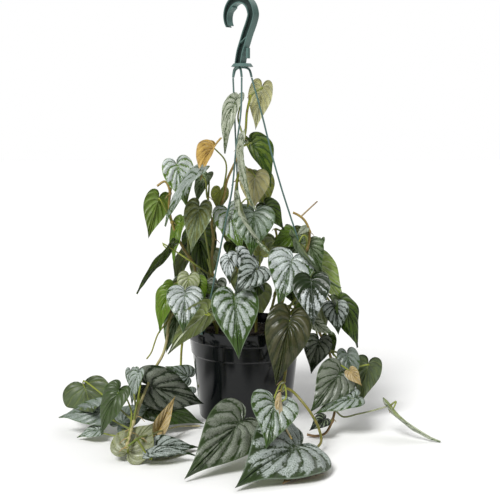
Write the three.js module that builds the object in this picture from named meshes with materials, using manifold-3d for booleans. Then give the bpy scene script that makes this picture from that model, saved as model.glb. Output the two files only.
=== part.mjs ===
// A philodendron brandtianum in a hanging pot that stands on a surface.
// Millimetres, +Z up, the viewer at -Y. The origin is the middle of the pot's underside.
import * as THREE from "three";
import { mergeVertices } from "three/addons/utils/BufferGeometryUtils.js";
import Module from "manifold-3d";

const wasm = await Module();
wasm.setup();

// Driving dimensions of the pot and what fills it.
const POT_HEIGHT = 119;
const RIM_RADIUS = 75;
const BASE_RADIUS = 59;
const POT_WALL = 1.6;
const RIM_BAND = 17;
const SECOND_BAND = 20;
const BAND_STEP = 1.6;
const DRAIN_HOLES = 8;
const DRAIN_RADIUS = 4;
const DRAIN_RING = 42;
const SOIL_EDGE = 104;
const SOIL_CROWN = 109;
const ROOT_HOLE = 3.4;
const POT_FLOOR = 2;
const ROUND_SIDES = 32;
const SEAT_GAP = 0.3;
const ROOT_DEPTH = 24;

// Driving dimensions of the hanger.
const STRAND_RADIUS = 1.1;
const HOOK_TURN = 42;
const HOOK_SECTION = 10.5;
const HOOK_FLANGE = 1.6;
const HOOK_WEB = 2.4;
const HOOK_TIP = 0.45;
const HOOK_ARC = 21.3;
const HOOK_ARC_AT = { along: -7.7, up: 507 };
const PLATE_AT = { x: -3.6, y: 1, up: 447 };
const PLATE_RADIUS = 14;
const PLATE_THICK = 4;
const ARCH_FOOT = 432;
const RIB_THICK = 1.4;
const ARCH_RADIUS = 1.43;
const CLIP_THICK = 1.6;
const CLIP_WIDTH = 7;
const CLIP_PLAY = 1;
const CLIP_LEGS = { inner: 9, outer: 5 };
const POCKET = { thick: 2.4, wide: 9, high: 9, drop: 11 };
const CLIP_ANGLES = [-16.3, 223.7, 103.7];

// Driving dimensions of the plant.
const STEM_RADIUS = 2;
const STEM_SIDES = 5;
const STALK_RADIUS = 1.15;
const STALK_SIDES = 3;
const KNEE = { back: 0.03, behind: 0.12 };
const BLADE_THICK = 0.9;
const BLADE_HALF = 0.36;
const OUT_RISE = 30;

// Colours that aren't listed with their piece.
const POT_BLACK = 0x23262a;
const SOIL_BROWN = 0x33281f;
const HANGER_GREEN = 0x5a7670;

// The place from which the plant was measured, in a square picture of 500 pixels.
const EYE = new THREE.Vector3(6.2, -1240, 373);
const LOOK_DOWN = THREE.MathUtils.degToRad(7.3);
const FOCAL = 977;
const CENTRE = 250;

const at = (x, y, z) => new THREE.Vector3(x, y, z);
const flat = (x, y) => new THREE.Vector2(x, y);

// The point on the line of sight through pixel (px, py), `near` mm in front of the pot's axis.
function seen(px, py, near) {
  const across = (px - CENTRE) / FOCAL;
  const up = (CENTRE - py) / FOCAL;
  const ahead = Math.cos(LOOK_DOWN) + up * Math.sin(LOOK_DOWN);
  const ray = at(across, ahead, up * Math.cos(LOOK_DOWN) - Math.sin(LOOK_DOWN));
  return EYE.clone().addScaledVector(ray, (-near - EYE.y) / ray.y);
}

// The point `radius` mm from the pot's axis, at `degrees` round from +X, `up` mm high.
function round(degrees, radius, up) {
  const angle = THREE.MathUtils.degToRad(degrees);
  return at(radius * Math.cos(angle), radius * Math.sin(angle), up);
}

// The three strands of the hanger: each has its foot under the hook's plate, the route that it
// takes down past the plant, and the place on the rim where it is clipped.
const STRANDS = {
  strand_right: {
    colour: 0x5c7872,
    foot: at(PLATE_AT.x + 11.9, PLATE_AT.y - 3, ARCH_FOOT),
    route: [seen(262, 115, 6), seen(272, 155, 10), seen(282, 190, 13), seen(290, 215, 15),
      seen(298, 240, 17), seen(302.5, 262, 19), seen(304, 290, 20)],
    degrees: CLIP_ANGLES[0],
  },
  strand_front: {
    colour: 0x55706b,
    foot: at(PLATE_AT.x - 0.5, PLATE_AT.y - 10, ARCH_FOOT),
    route: [seen(241, 110, 18), seen(236, 150, 26), seen(232, 190, 32), seen(228, 210, 36),
      seen(222, 240, 41), seen(216, 270, 45), seen(210, 300, 49)],
    degrees: CLIP_ANGLES[1],
  },
  strand_back: {
    colour: 0x4f6964,
    foot: at(PLATE_AT.x - 11.5, PLATE_AT.y + 6, ARCH_FOOT),
    route: [seen(234, 100, -16), seen(235, 125, -24), seen(236.5, 160, -36), seen(238, 200, -48),
      seen(239, 240, -60), seen(238, 280, -68)],
    degrees: CLIP_ANGLES[2],
  },
};

// The hook's gusset, the slot through it and the ribs across its channel, in the hook's own plane.
const GUSSET = [
  flat(-13, 455),
  flat(-11, PLATE_AT.up),
  flat(9, PLATE_AT.up),
  flat(8, 476),
  flat(4, 480),
  flat(-3, 462),
];
const GUSSET_SLOT = [flat(3.5, 455), flat(6.5, 455), flat(6.5, 468), flat(3.5, 468)];
const RIBS = [
  [flat(-5, 474), flat(6, 481)],
  [flat(7, 503), flat(17, 515)],
  [flat(-26, 512), flat(-17, 519)],
];

// Each vine lists its stems, the first of which is rooted, and its leaves.
// It also has the mean colour of its leaves.
// A leaf has its stalk's end (at), its tip, its turn about the line between them (0 shows the
// upper face to the viewer, 180 the underside), its width as a share of its length, and the
// stem and the place along it where its stalk grows (on).
const VINES = {
  vine_centre_tall: {
    colour: 0x8a8a5e,
    stems: [
      [at(2, 8, 118), seen(244, 290, 0), seen(239, 250, 2), seen(235, 205, 4), seen(237.3, 180, 6),
        seen(242.5, 159, 6), seen(242, 147, 5), seen(245.5, 131, 4), seen(247, 112, 2), seen(250.8, 95, 1)],
    ],
    leaves: [
      { at: seen(262, 87, -8), tip: seen(255.5, 130, 2), turn: 172, wide: 0.56, on: [0, 1] },
      { at: seen(250.5, 142, -10), tip: seen(270.8, 187, -2),
        turn: -42, wide: 0.66, fold: 0.5, on: [0, 0.83] },
      { at: seen(255, 175, 16), tip: seen(252.5, 212, 22), turn: 178, wide: 0.82, on: [0, 0.73] },
      { at: seen(262, 178, -8), tip: seen(268, 209, -4), turn: 170, wide: 0.8, on: [0, 0.66] },
      { at: seen(244, 142, 42), tip: seen(256.2, 209.7, 54), turn: 74, wide: 0.42, on: [0, 0.8] },
    ],
  },
  vine_centre_left: {
    colour: 0x7d8665,
    stems: [
      [at(-22, -6, 118), seen(214, 285, 12), seen(212, 256, 16), seen(213.4, 238, 16), seen(212, 221, 16),
        seen(218, 212, 16), seen(224.5, 195, 16), seen(227, 180.6, 16), seen(234.8, 163, 15),
        seen(240, 149, 15), seen(242, 133, 12)],
      [seen(212, 221, 16), seen(209.5, 207, 22), seen(207, 196.6, 30)],
    ],
    leaves: [
      { at: seen(236, 101, -3), tip: seen(225.5, 153.8, 5),
        turn: 50, wide: 0.48, on: [0, 1], by: seen(238, 118, 2) },
      { at: seen(214.9, 146.5, 22), tip: seen(201, 180.6, 58),
        turn: 44, wide: 0.56, fold: 0.6, on: [0, 0.63], by: seen(226, 163, 18) },
      { at: seen(199.5, 173, 54), tip: seen(165.8, 226.8, 62), turn: 73, wide: 0.64, on: [1, 1] },
      { at: seen(206.5, 176, 12), tip: seen(197, 205, 24), turn: 50, wide: 0.72, on: [1, 0.8] },
      { at: seen(220.5, 190, 4), tip: seen(218.5, 213, 10), turn: 170, wide: 0.8, on: [0, 0.5] },
      { at: seen(199.6, 206.5, 44), tip: seen(190.9, 253.3, 54), turn: 8, wide: 0.58, on: [0, 0.33] },
      { at: seen(199, 233, -16), tip: seen(207, 280, -8), turn: 12, wide: 0.76, on: [0, 0.3] },
      { at: seen(168.5, 245.5, 44), tip: seen(136.5, 293.8, 50),
        turn: -72, wide: 0.5, bend: -0.04, on: [0, 0.32], by: seen(190, 261, 46) },
    ],
  },
  vine_left: {
    colour: 0x6b8354,
    stems: [
      [at(-38, 4, 118), seen(198, 285, -2), seen(193.5, 264, 0), seen(184.3, 250, 6), seen(176.6, 235, 10),
        seen(172, 222.6, 14), seen(169, 207, 18), seen(169.7, 190.5, 20), seen(165, 181.5, 22),
        seen(157, 186, 24)],
    ],
    leaves: [
      { at: seen(176.5, 164, 26), tip: seen(187, 208, 34), turn: -4, wide: 0.7, on: [0, 0.88] },
      { at: seen(159, 197.5, 24), tip: seen(148.3, 238.7, 34), turn: 172, wide: 0.62, on: [0, 0.72] },
      { at: seen(181, 222, 12), tip: seen(174.6, 265.5, 18), turn: 58, wide: 0.56, on: [0, 0.5] },
    ],
  },
  vine_centre_right: {
    colour: 0xa9b39f,
    stems: [
      [at(14, -12, 118), seen(256, 296, 16), seen(253, 268, 20), seen(249, 240, 18), seen(247, 222, 12)],
    ],
    leaves: [
      { at: seen(228, 210, 24), tip: seen(242, 252, 36), turn: -6, wide: 0.78, on: [0, 0.9] },
      { at: seen(254.5, 212, 32), tip: seen(251, 257, 58), turn: 0, wide: 0.88, on: [0, 0.95] },
      { at: seen(260, 254, 40), tip: seen(262, 236, 12),
        turn: 178, wide: 0.72, on: [0, 0.35], by: seen(259.5, 272, 38) },
      { at: seen(240, 200, 44), tip: seen(270.5, 253.5, 66), turn: 79, wide: 0.5, on: [0, 1] },
      { at: seen(265, 205, 4), tip: seen(284, 230, 10), turn: -20, wide: 0.75, on: [0, 1] },
      { at: seen(232, 243, 9), tip: seen(252, 266, 16), turn: 0, wide: 0.7, on: [0, 0.5] },
    ],
  },
  vine_right: {
    colour: 0x74866a,
    stems: [
      [at(38, 2, 118), seen(286, 290, 6), seen(300, 262, 8), seen(308, 246, 10), seen(309.5, 232, 10),
        seen(305, 221, 10), seen(299, 215.5, 10), seen(293, 212.5, 10)],
      [seen(301, 216.5, 10), seen(308, 210, 10), seen(317.5, 201.2, 10)],
    ],
    leaves: [
      { at: seen(293.7, 235, 6), tip: seen(270.8, 247, 20), turn: 14, wide: 0.84, on: [0, 0.7] },
      { at: seen(303, 243, 4), tip: seen(282, 254, 8), turn: 20, wide: 0.84, on: [0, 0.66] },
      { at: seen(293, 258, 34), tip: seen(277.7, 306, 78), turn: 2, wide: 0.82, on: [0, 0.5] },
      { at: seen(317, 262, 2), tip: seen(345.5, 302, 15), turn: 162, wide: 0.72, fold: 0.2, on: [0, 0.48] },
      { at: seen(297, 238, 40), tip: seen(341, 288, 54),
        turn: 80, wide: 0.5, on: [0, 0.6], by: seen(307, 239, 36) },
      { at: seen(321, 241, -10), tip: seen(321, 264, -4), turn: 55, wide: 0.7, on: [0, 0.55] },
      { at: seen(309, 244, 6), tip: seen(322, 272, 10), turn: 0, wide: 0.84, on: [0, 0.6] },
      { at: seen(306, 228, 20), tip: seen(296, 236, 26), turn: 10, wide: 0.6, on: [0, 0.82] },
    ],
  },
  vine_right_front: {
    colour: 0x5f6a45,
    stems: [
      [at(36, -32, 118), seen(290, 306, 40), seen(302, 292, 44), seen(314, 288, 44), seen(326, 292, 40)],
    ],
    leaves: [
      { at: seen(311, 279, 74), tip: seen(313.4, 326, 92), turn: 0, wide: 0.8, bend: 0.14, on: [0, 0.5] },
      { at: seen(290.5, 317, 84), tip: seen(275.4, 386.2, 98), turn: 0, wide: 0.65, on: [0, 0.2] },
      { at: seen(340, 301, 34), tip: seen(357, 348, 50), turn: -52, wide: 0.7, on: [0, 1] },
      { at: seen(345, 318, 22), tip: seen(358, 347, 30), turn: -30, wide: 0.66, on: [0, 0.95] },
      { at: seen(335, 305, 46), tip: seen(338.5, 335, 62), turn: -4, wide: 0.86, on: [0, 0.9] },
      { at: seen(313, 320, 60), tip: seen(335.5, 335, 68), turn: 30, wide: 0.6, on: [0, 0.5] },
      { at: seen(303, 306, 44), tip: seen(310, 327, 50), turn: 0, wide: 0.7, on: [0, 0.3] },
      { at: seen(287, 288, 26), tip: seen(296, 306, 32), turn: 0, wide: 0.6, on: [0, 0.15] },
    ],
  },
  vine_front_centre: {
    colour: 0x8d9a80,
    stems: [
      [at(0, -38, 118), seen(247, 306, 44), seen(244, 288, 44), seen(238, 270, 40), seen(234, 258, 34)],
    ],
    leaves: [
      { at: seen(234.5, 296, 74), tip: seen(239, 359.7, 100), turn: 0, wide: 0.74, on: [0, 0.4] },
      { at: seen(258, 268, 68), tip: seen(234.5, 295, 92), turn: 8, wide: 0.84, on: [0, 0.6] },
      { at: seen(230, 257, 52), tip: seen(230, 284, 62), turn: 40, wide: 0.82, on: [0, 0.9] },
      { at: seen(238, 255, 54), tip: seen(264, 292, 62), turn: -40, wide: 0.62, on: [0, 0.9] },
      { at: seen(217, 283, 30), tip: seen(214, 318, 38), turn: 30, wide: 0.7, on: [0, 0.5] },
      { at: seen(258, 284, 50), tip: seen(244, 302, 56), turn: 0, wide: 0.8, on: [0, 0.4] },
    ],
  },
  vine_front_left: {
    colour: 0x6f8350,
    stems: [
      [at(-36, -26, 118), seen(204, 306, 34), seen(196, 292, 38), seen(186, 284, 38), seen(176, 284, 36),
        seen(172, 294, 34)],
      [seen(172, 294, 34), seen(169, 318, 46), seen(158, 334, 52), seen(151, 353, 54),
        seen(146.6, 359, 54)],
    ],
    leaves: [
      { at: seen(169, 291, 50), tip: seen(160, 333, 62), turn: 40, wide: 0.6, on: [0, 0.95] },
      { at: seen(185, 292, 60), tip: seen(183, 334, 92), turn: 0, wide: 0.8, on: [0, 0.7] },
      { at: seen(207.9, 312.2, 70), tip: seen(168, 354.5, 96),
        turn: 140, wide: 0.6, on: [0, 0.3], by: seen(202, 309, 52) },
      { at: seen(173, 285, 44), tip: seen(162, 304, 48), turn: 0, wide: 0.84, on: [0, 0.9] },
      { at: seen(189, 276, 42), tip: seen(186, 304, 48), turn: 0, wide: 0.8, on: [0, 0.6] },
      { at: seen(197, 280, 40), tip: seen(206, 300, 42), turn: 0, wide: 0.8, on: [0, 0.4] },
      { at: seen(206, 287, 40), tip: seen(216, 296, 41), turn: 0, wide: 0.7, on: [0, 0.5] },
    ],
  },
  vine_left_trailing: {
    colour: 0x63705f,
    stems: [
      [at(-52, -16, 118), seen(196, 303, 20), seen(183, 306, 28), seen(172, 315, 36),
        seen(168.6, 324.6, 40), seen(167.3, 337, 44), seen(163.2, 353.7, 54), seen(154.9, 368.6, 68),
        seen(148, 384, 90), seen(141, 402, 120), seen(133, 424, 160), seen(126.5, 447.5, 200)],
      [seen(126.5, 447.5, 200), seen(136, 440, 192), seen(150, 434.5, 160), seen(165, 430, 120),
        seen(179, 426.5, 90), seen(191, 426, 72), seen(200, 426, 70)],
    ],
    leaves: [
      { at: seen(84, 385.5, 50), tip: seen(93, 412, 122),
        turn: 180, wide: 0.78, on: [0, 0.85], by: seen(108, 399, 96) },
      { at: seen(106, 413, 100), tip: seen(58.8, 417.8, 84), turn: 36, wide: 0.62, on: [0, 0.9] },
      { at: seen(120, 424, 104), tip: seen(153, 403, 74), turn: -38, wide: 0.7, on: [0, 0.92] },
      { at: seen(119.4, 390.6, 138), tip: seen(101.7, 435, 140),
        turn: 35, wide: 0.62, on: [0, 1], by: seen(131, 410, 142) },
      { at: seen(131, 371, 80), tip: seen(133, 395, 90), turn: 0, wide: 0.5, on: [0, 0.8] },
      { at: seen(138.5, 373, 104), tip: seen(132.5, 406, 110), turn: 45, wide: 0.56, on: [0, 0.86] },
      { at: seen(147, 385, 88), tip: seen(204, 404, 44), turn: -8, wide: 0.6, on: [0, 0.82] },
      { at: seen(151, 409, 84), tip: seen(203.5, 424, 62), turn: -30, wide: 0.55, on: [1, 0.6] },
      { at: seen(156.5, 434, 120), tip: seen(175.5, 395.5, 100),
        turn: 0, wide: 0.36, fold: 0.6, on: [1, 0.35] },
      { at: seen(128, 453, 188), tip: seen(153.3, 423.5, 142), turn: -24, wide: 0.86, on: [0, 0.98] },
      { at: seen(154, 449.5, 170), tip: seen(199, 448, 152), turn: -44, wide: 0.66, on: [1, 0.15] },
      { at: seen(150, 455, 196), tip: seen(195, 456, 188), turn: -62, wide: 0.5, on: [1, 0.1] },
      { at: seen(100, 430, 116), tip: seen(77, 438, 112), turn: 50, wide: 0.76, on: [0, 0.95] },
      { at: seen(178, 313, 32), tip: seen(166, 353, 40), turn: 10, wide: 0.56, on: [0, 0.16] },
    ],
  },
  vine_right_trailing: {
    colour: 0x5e6b5d,
    stems: [
      [at(50, -10, 118), seen(300, 306, 33), seen(313, 320, 38), seen(320.6, 335, 36), seen(329, 352, 46),
        seen(334, 372, 62), seen(336, 394, 80), seen(335, 410, 92), seen(331, 424, 100),
        seen(325, 433.5, 104), seen(316, 436, 106), seen(307, 434.5, 104)],
      [seen(335, 410, 92), seen(343, 416.7, 92), seen(358, 414, 92), seen(372.7, 410.6, 93),
        seen(390, 405.5, 94)],
    ],
    leaves: [
      { at: seen(368.5, 363, 34), tip: seen(360.5, 404.5, 44),
        turn: 172, wide: 0.72, on: [0, 0.45], by: seen(346, 366, 50) },
      { at: seen(341, 372, 76), tip: seen(310, 412.8, 108), turn: 0, wide: 0.74, on: [0, 0.6] },
      { at: seen(355, 398, 96), tip: seen(314, 415, 104), turn: 35, wide: 0.6, on: [0, 0.7] },
      { at: seen(350, 371, 92), tip: seen(362, 386, 98), turn: 0, wide: 0.7, fold: 0.6, on: [0, 0.55] },
      { at: seen(347, 354, 46), tip: seen(352, 392, 58), turn: -10, wide: 0.6, on: [0, 0.5] },
      { at: seen(319, 340, 40), tip: seen(311, 374.2, 60), turn: 4, wide: 0.8, on: [0, 0.35] },
      { at: seen(328, 336, 22), tip: seen(334, 357, 28), turn: 0, wide: 0.7, on: [0, 0.35] },
      { at: seen(391, 405.5, 95), tip: seen(441, 441, 124), turn: 84, wide: 0.36, on: [1, 1] },
      { at: seen(325, 419, 110), tip: seen(309, 431, 118), turn: 20, wide: 0.8, on: [0, 0.85] },
    ],
  },
  vine_front_trailing: {
    colour: 0x8a9784,
    stems: [
      [at(26, -44, 118), seen(283, 318, 62), seen(287, 335, 72), seen(287, 355, 78), seen(285, 375, 84),
        seen(282, 390, 98), seen(286, 388.5, 116), seen(292, 391, 130), seen(299, 398, 142),
        seen(310, 412, 150), seen(318.8, 428.5, 150), seen(321, 442, 154), seen(313, 451, 164)],
    ],
    leaves: [
      { at: seen(274, 401, 200), tip: seen(266, 450, 240),
        turn: -12, wide: 0.92, fold: 0.3, on: [0, 0.5], by: seen(278, 388, 170) },
      { at: seen(242, 421, 188), tip: seen(184, 479.5, 252), turn: 0, wide: 0.66, on: [0, 0.98] },
      { at: seen(300, 446, 205), tip: seen(235, 488, 280), turn: 22, wide: 0.86, fold: 0.26, on: [0, 1] },
      { at: at(71, -214, 4.4), tip: at(40, -262, 3.6), turn: -124, wide: 0.7, bend: -0.02, fold: 0.03, on: [0, 1] },
      { at: seen(281.5, 399, 208), tip: seen(292, 439, 218),
        turn: 60, wide: 0.14, fold: 0.4, on: [0, 0.55], by: seen(285, 386, 170) },
    ],
  },
  vine_back_left_trailing: {
    colour: 0x7c837c,
    stems: [
      [at(-30, 40, 118), at(-56, 60, 140), at(-78, 76, 122), at(-88, 84, 70), at(-92, 86, 22),
        at(-100, 78, 4), at(-112, 60, 3)],
    ],
    leaves: [
      { at: seen(189, 377, -54), tip: seen(165, 366, -44), turn: 0, wide: 0.8, on: [0, 0.75] },
      { at: seen(193, 393, -46), tip: seen(181, 387, -40), turn: 0, wide: 0.8, on: [0, 0.85] },
    ],
  },
  vine_back_right: {
    colour: 0x6d8058,
    stems: [
      [at(32, 30, 118), at(42, 48, 160), at(46, 56, 200), at(40, 54, 236)],
    ],
    leaves: [
      { at: round(38, 84, 232), tip: round(38, 102, 172), out: true, wide: 0.72, on: [0, 1] },
      { at: round(60, 80, 218), tip: round(61, 98, 158), out: true, wide: 0.74, on: [0, 0.8] },
      { at: round(22, 96, 196), tip: round(22, 116, 140), out: true, wide: 0.7, on: [0, 0.6] },
      { at: round(50, 92, 170), tip: round(50, 112, 108), out: true, wide: 0.74, on: [0, 0.4] },
      { at: round(26, 100, 144), tip: round(26, 118, 88), out: true, wide: 0.72, on: [0, 0.25] },
    ],
  },
  vine_back_middle: {
    colour: 0x76866a,
    stems: [
      [at(0, 44, 118), at(3, 56, 180), at(2, 54, 236), at(8, 46, 286)],
    ],
    leaves: [
      { at: at(20, 62, 306), tip: at(22, 80, 256), out: true, wide: 0.66, on: [0, 1] },
      { at: round(98, 76, 248), tip: round(98, 96, 186), out: true, wide: 0.74, on: [0, 0.8] },
      { at: round(88, 68, 212), tip: round(86, 84, 150), out: true, wide: 0.74, on: [0, 0.6] },
      { at: round(92, 92, 184), tip: round(94, 110, 122), out: true, wide: 0.72, on: [0, 0.4] },
      { at: round(82, 96, 150), tip: round(82, 114, 90), out: true, wide: 0.72, on: [0, 0.2] },
    ],
  },
  vine_back_left: {
    colour: 0x69804f,
    stems: [
      [at(-34, 22, 118), at(-46, 40, 164), at(-50, 44, 206), at(-44, 44, 238)],
    ],
    leaves: [
      { at: round(132, 80, 236), tip: round(132, 98, 176), out: true, wide: 0.72, on: [0, 1] },
      { at: round(152, 84, 210), tip: round(152, 102, 150), out: true, wide: 0.7, on: [0, 0.7] },
      { at: round(120, 104, 196), tip: round(120, 122, 134), out: true, wide: 0.72, on: [0, 0.6] },
      { at: round(140, 94, 164), tip: round(140, 112, 106), out: true, wide: 0.74, on: [0, 0.35] },
      { at: round(164, 92, 170), tip: round(164, 108, 116), out: true, wide: 0.7, on: [0, 0.4] },
    ],
  },
};

// A closed three.js geometry as a solid, turned outside out where its faces point inwards.
function solid(geometry) {
  geometry.deleteAttribute("normal");
  geometry.deleteAttribute("uv");
  const merged = mergeVertices(geometry, 1e-4);
  const build = (triVerts) =>
    new wasm.Manifold(
      new wasm.Mesh({ numProp: 3, vertProperties: merged.attributes.position.array, triVerts }),
    );
  const made = build(new Uint32Array(merged.index.array));
  if (made.volume() > 0) return made;
  return build(new Uint32Array(merged.index.array).reverse());
}

// A solid as a three.js geometry.
function geometryOf(body) {
  const mesh = body.getMesh();
  const points = new Float32Array(mesh.numVert * 3);
  for (let i = 0; i < mesh.numVert; i++)
    points.set(mesh.vertProperties.subarray(i * mesh.numProp, i * mesh.numProp + 3), i * 3);
  const geometry = new THREE.BufferGeometry();
  geometry.setAttribute("position", new THREE.BufferAttribute(points, 3));
  geometry.setIndex(new THREE.BufferAttribute(mesh.triVerts, 1));
  geometry.computeVertexNormals();
  return geometry;
}

// A round bar along a smooth curve through the points.
function tube(points, radius, sides, steps) {
  const section = new THREE.Shape();
  for (let i = 0; i < sides; i++) {
    const angle = (2 * Math.PI * i) / sides;
    section[i ? "lineTo" : "moveTo"](radius * Math.cos(angle), radius * Math.sin(angle));
  }
  const extrudePath = new THREE.CatmullRomCurve3(points, false, "centripetal");
  return solid(new THREE.ExtrudeGeometry(section, { steps, extrudePath, bevelEnabled: false }));
}

// One side of a heart-shaped blade of length 1, from the stalk's end round the lobe to the tip.
const LOBE_IN = new THREE.CubicBezierCurve(flat(0, 0), flat(0, -0.1), flat(0.08, -0.2), flat(0.2, -0.17));
const LOBE_OUT = new THREE.CubicBezierCurve(
  flat(0.2, -0.17),
  flat(0.32, -0.14),
  flat(0.37, 0.02),
  flat(BLADE_HALF, 0.17),
);
const FLANK = new THREE.CubicBezierCurve(
  flat(BLADE_HALF, 0.17),
  flat(0.345, 0.42),
  flat(0.12, 0.66),
  flat(0.035, 0.9),
);
const SIDE = [
  LOBE_IN.getPoint(0.8),
  LOBE_OUT.getPoint(0.35),
  LOBE_OUT.getPoint(0.85),
  FLANK.getPoint(0.35),
  FLANK.getPoint(0.7),
];
const MIDRIB = [flat(0, 0.4)];

// The directions of a leaf: along its midrib, across it, and out of its upper face.
function leafFrame(leaf) {
  const along = leaf.tip.clone().sub(leaf.at);
  const length = along.length();
  along.normalize();
  const face = leaf.out ? at(leaf.at.x, leaf.at.y, OUT_RISE) : EYE.clone().sub(leaf.at);
  face.addScaledVector(along, -face.dot(along)).normalize();
  face.applyAxisAngle(along, THREE.MathUtils.degToRad(leaf.turn ?? 0));
  return { along, length, face, across: along.clone().cross(face) };
}

// A point of the blade: arched along its midrib, folded up at both sides, its edge waved.
function bladePoint(leaf, frame, x, y) {
  const { bend = 0.07, fold = 0.14, wave = 0.02 } = leaf;
  const waves = wave * Math.sin(11 * y + Math.sign(x)) * (x / BLADE_HALF) ** 2;
  const rise = bend * 4 * y * (1 - y) + fold * Math.abs(x) + waves;
  return leaf.at
    .clone()
    .addScaledVector(frame.across, (x * leaf.wide * frame.length) / (2 * BLADE_HALF))
    .addScaledVector(frame.along, y * frame.length)
    .addScaledVector(frame.face, rise * frame.length);
}

// A blade: both faces split into the same triangles, and a thin edge all round.
function blade(leaf) {
  const frame = leafFrame(leaf);
  const half = [flat(0, 0), ...SIDE, flat(0, 1), ...MIDRIB];
  const cuts = THREE.ShapeUtils.triangulateShape(half, []);
  const points = half.map((p) => bladePoint(leaf, frame, p.x, p.y));
  points.push(...SIDE.map((p) => bladePoint(leaf, frame, -p.x, p.y)));
  const mirror = (i) => (i >= 1 && i <= SIDE.length ? half.length + i - 1 : i);
  const faces = cuts.concat(cuts.map(([a, b, c]) => [mirror(a), mirror(c), mirror(b)]));
  const tip = SIDE.length + 1;
  const edge = [...Array(tip + 1).keys()];
  for (let i = SIDE.length; i >= 1; i--) edge.push(mirror(i));
  const thick = frame.face.clone().multiplyScalar(BLADE_THICK / 2);
  const vertices = points.flatMap((p) => [p.clone().add(thick), p.clone().sub(thick)]);
  const index = faces.flatMap(([a, b, c]) => [2 * a, 2 * b, 2 * c, 2 * a + 1, 2 * c + 1, 2 * b + 1]);
  edge.forEach((a, i) => {
    const b = edge[(i + 1) % edge.length];
    index.push(2 * b, 2 * a, 2 * a + 1, 2 * b, 2 * a + 1, 2 * b + 1);
  });
  const geometry = new THREE.BufferGeometry().setFromPoints(vertices);
  geometry.setIndex(index);
  return solid(geometry);
}

// A leaf's stalk: from the stem to a knee behind the blade, and square into the midrib's start.
function stalk(leaf, curves) {
  const frame = leafFrame(leaf);
  const [stem, place] = leaf.on;
  const start = curves[stem].getPointAt(place);
  const end = bladePoint(leaf, frame, 0, 0.06);
  const knee = end
    .clone()
    .addScaledVector(frame.along, -KNEE.back * frame.length)
    .addScaledVector(frame.face, -KNEE.behind * frame.length);
  const between = leaf.by ? [leaf.by] : [];
  return tube([start, ...between, knee, end], STALK_RADIUS, STALK_SIDES, 3 + between.length);
}

// One leafy stem: its pieces grow together, a hollow that they shut in is filled and a scrap is dropped.
function leafyStem(vine) {
  const bodies = wasm.Manifold.union(vinePieces(vine)).decompose();
  return bodies.sort((a, b) => b.volume() - a.volume())[0];
}

// The pieces that grow together as one leafy stem.
function vinePieces(vine) {
  const root = vine.stems[0][0];
  const below = [at(root.x, root.y, root.z - ROOT_DEPTH), at(root.x, root.y, SOIL_CROWN)];
  const paths = vine.stems.map((points, i) => (i ? points : [...below, ...points]));
  const curves = paths.map((points) => new THREE.CatmullRomCurve3(points, false, "centripetal"));
  const stems = paths.map((points, i) =>
    tube(points, i ? STALK_RADIUS : STEM_RADIUS, STEM_SIDES, points.length));
  const leaves = vine.leaves.flatMap((leaf) => [blade(leaf), stalk(leaf, curves)]);
  return [...stems, ...leaves];
}

// The outer radius of the pot's body, which widens towards the rim.
const bodyRadius = (up) => BASE_RADIUS + (RIM_RADIUS - BASE_RADIUS - 2 * BAND_STEP) * (up / POT_HEIGHT);

// A turned solid from its profile of [radius, height] pairs.
function turned(profile) {
  const lathe = new THREE.LatheGeometry(profile.map(([r, up]) => flat(r, up)), ROUND_SIDES);
  return solid(lathe.rotateX(Math.PI / 2));
}

// A box centred on a point at `degrees` round the pot, its sides radial, sideways and upright.
function boxAt(degrees, radius, up, size) {
  const box = new THREE.BoxGeometry(...size).translate(radius, 0, up);
  return solid(box.rotateZ(THREE.MathUtils.degToRad(degrees)));
}

// An upright six-sided peg, used to cut holes.
function peg(x, y, radius, low, high) {
  const rod = new THREE.CylinderGeometry(radius, radius, high - low, 6).rotateX(Math.PI / 2);
  return solid(rod.translate(x, y, (low + high) / 2));
}

// The pot: a tapered cup with two bands under the rim, drain holes and three pockets for the clips.
function pot() {
  const low = POT_HEIGHT - RIM_BAND - SECOND_BAND;
  const middle = POT_HEIGHT - RIM_BAND;
  let body = turned([
    [0, 0],
    [BASE_RADIUS, 0],
    [bodyRadius(low), low],
    [bodyRadius(low) + BAND_STEP, low + 1],
    [bodyRadius(middle) + BAND_STEP, middle],
    [RIM_RADIUS - 0.6, middle + 1],
    [RIM_RADIUS, POT_HEIGHT],
    [RIM_RADIUS - POT_WALL, POT_HEIGHT],
    [RIM_RADIUS - POT_WALL, middle + 3],
    [bodyRadius(middle) - POT_WALL, middle - 1],
    [bodyRadius(POT_FLOOR) - POT_WALL, POT_FLOOR],
    [0, POT_FLOOR],
  ]);
  for (let i = 0; i < DRAIN_HOLES; i++) {
    const hole = round((360 * (i + 0.5)) / DRAIN_HOLES, DRAIN_RING, 0);
    body = body.subtract(peg(hole.x, hole.y, DRAIN_RADIUS, -1, POT_FLOOR + 1));
  }
  for (const degrees of CLIP_ANGLES) {
    const size = [POCKET.thick, POCKET.wide, POCKET.high];
    body = body.add(boxAt(degrees, RIM_RADIUS, POT_HEIGHT - POCKET.drop, size));
  }
  return body;
}

// The soil: it fills the pot to just under the rim, and has a plain hole for each stem.
function soil() {
  const inner = (up) => bodyRadius(up) - POT_WALL - 2 * SEAT_GAP;
  const low = POT_FLOOR + SEAT_GAP;
  const bulk = turned([
    [0, low],
    [inner(low), low],
    [inner(SOIL_EDGE - 4), SOIL_EDGE],
    [0.6 * RIM_RADIUS, SOIL_CROWN],
    [0, SOIL_CROWN],
  ]);
  return Object.values(VINES).reduce((body, vine) => {
    const root = vine.stems[0][0];
    const low = root.z - ROOT_DEPTH - 2 * SEAT_GAP;
    return body.subtract(peg(root.x, root.y, ROOT_HOLE, low, POT_HEIGHT));
  }, bulk);
}

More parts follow.
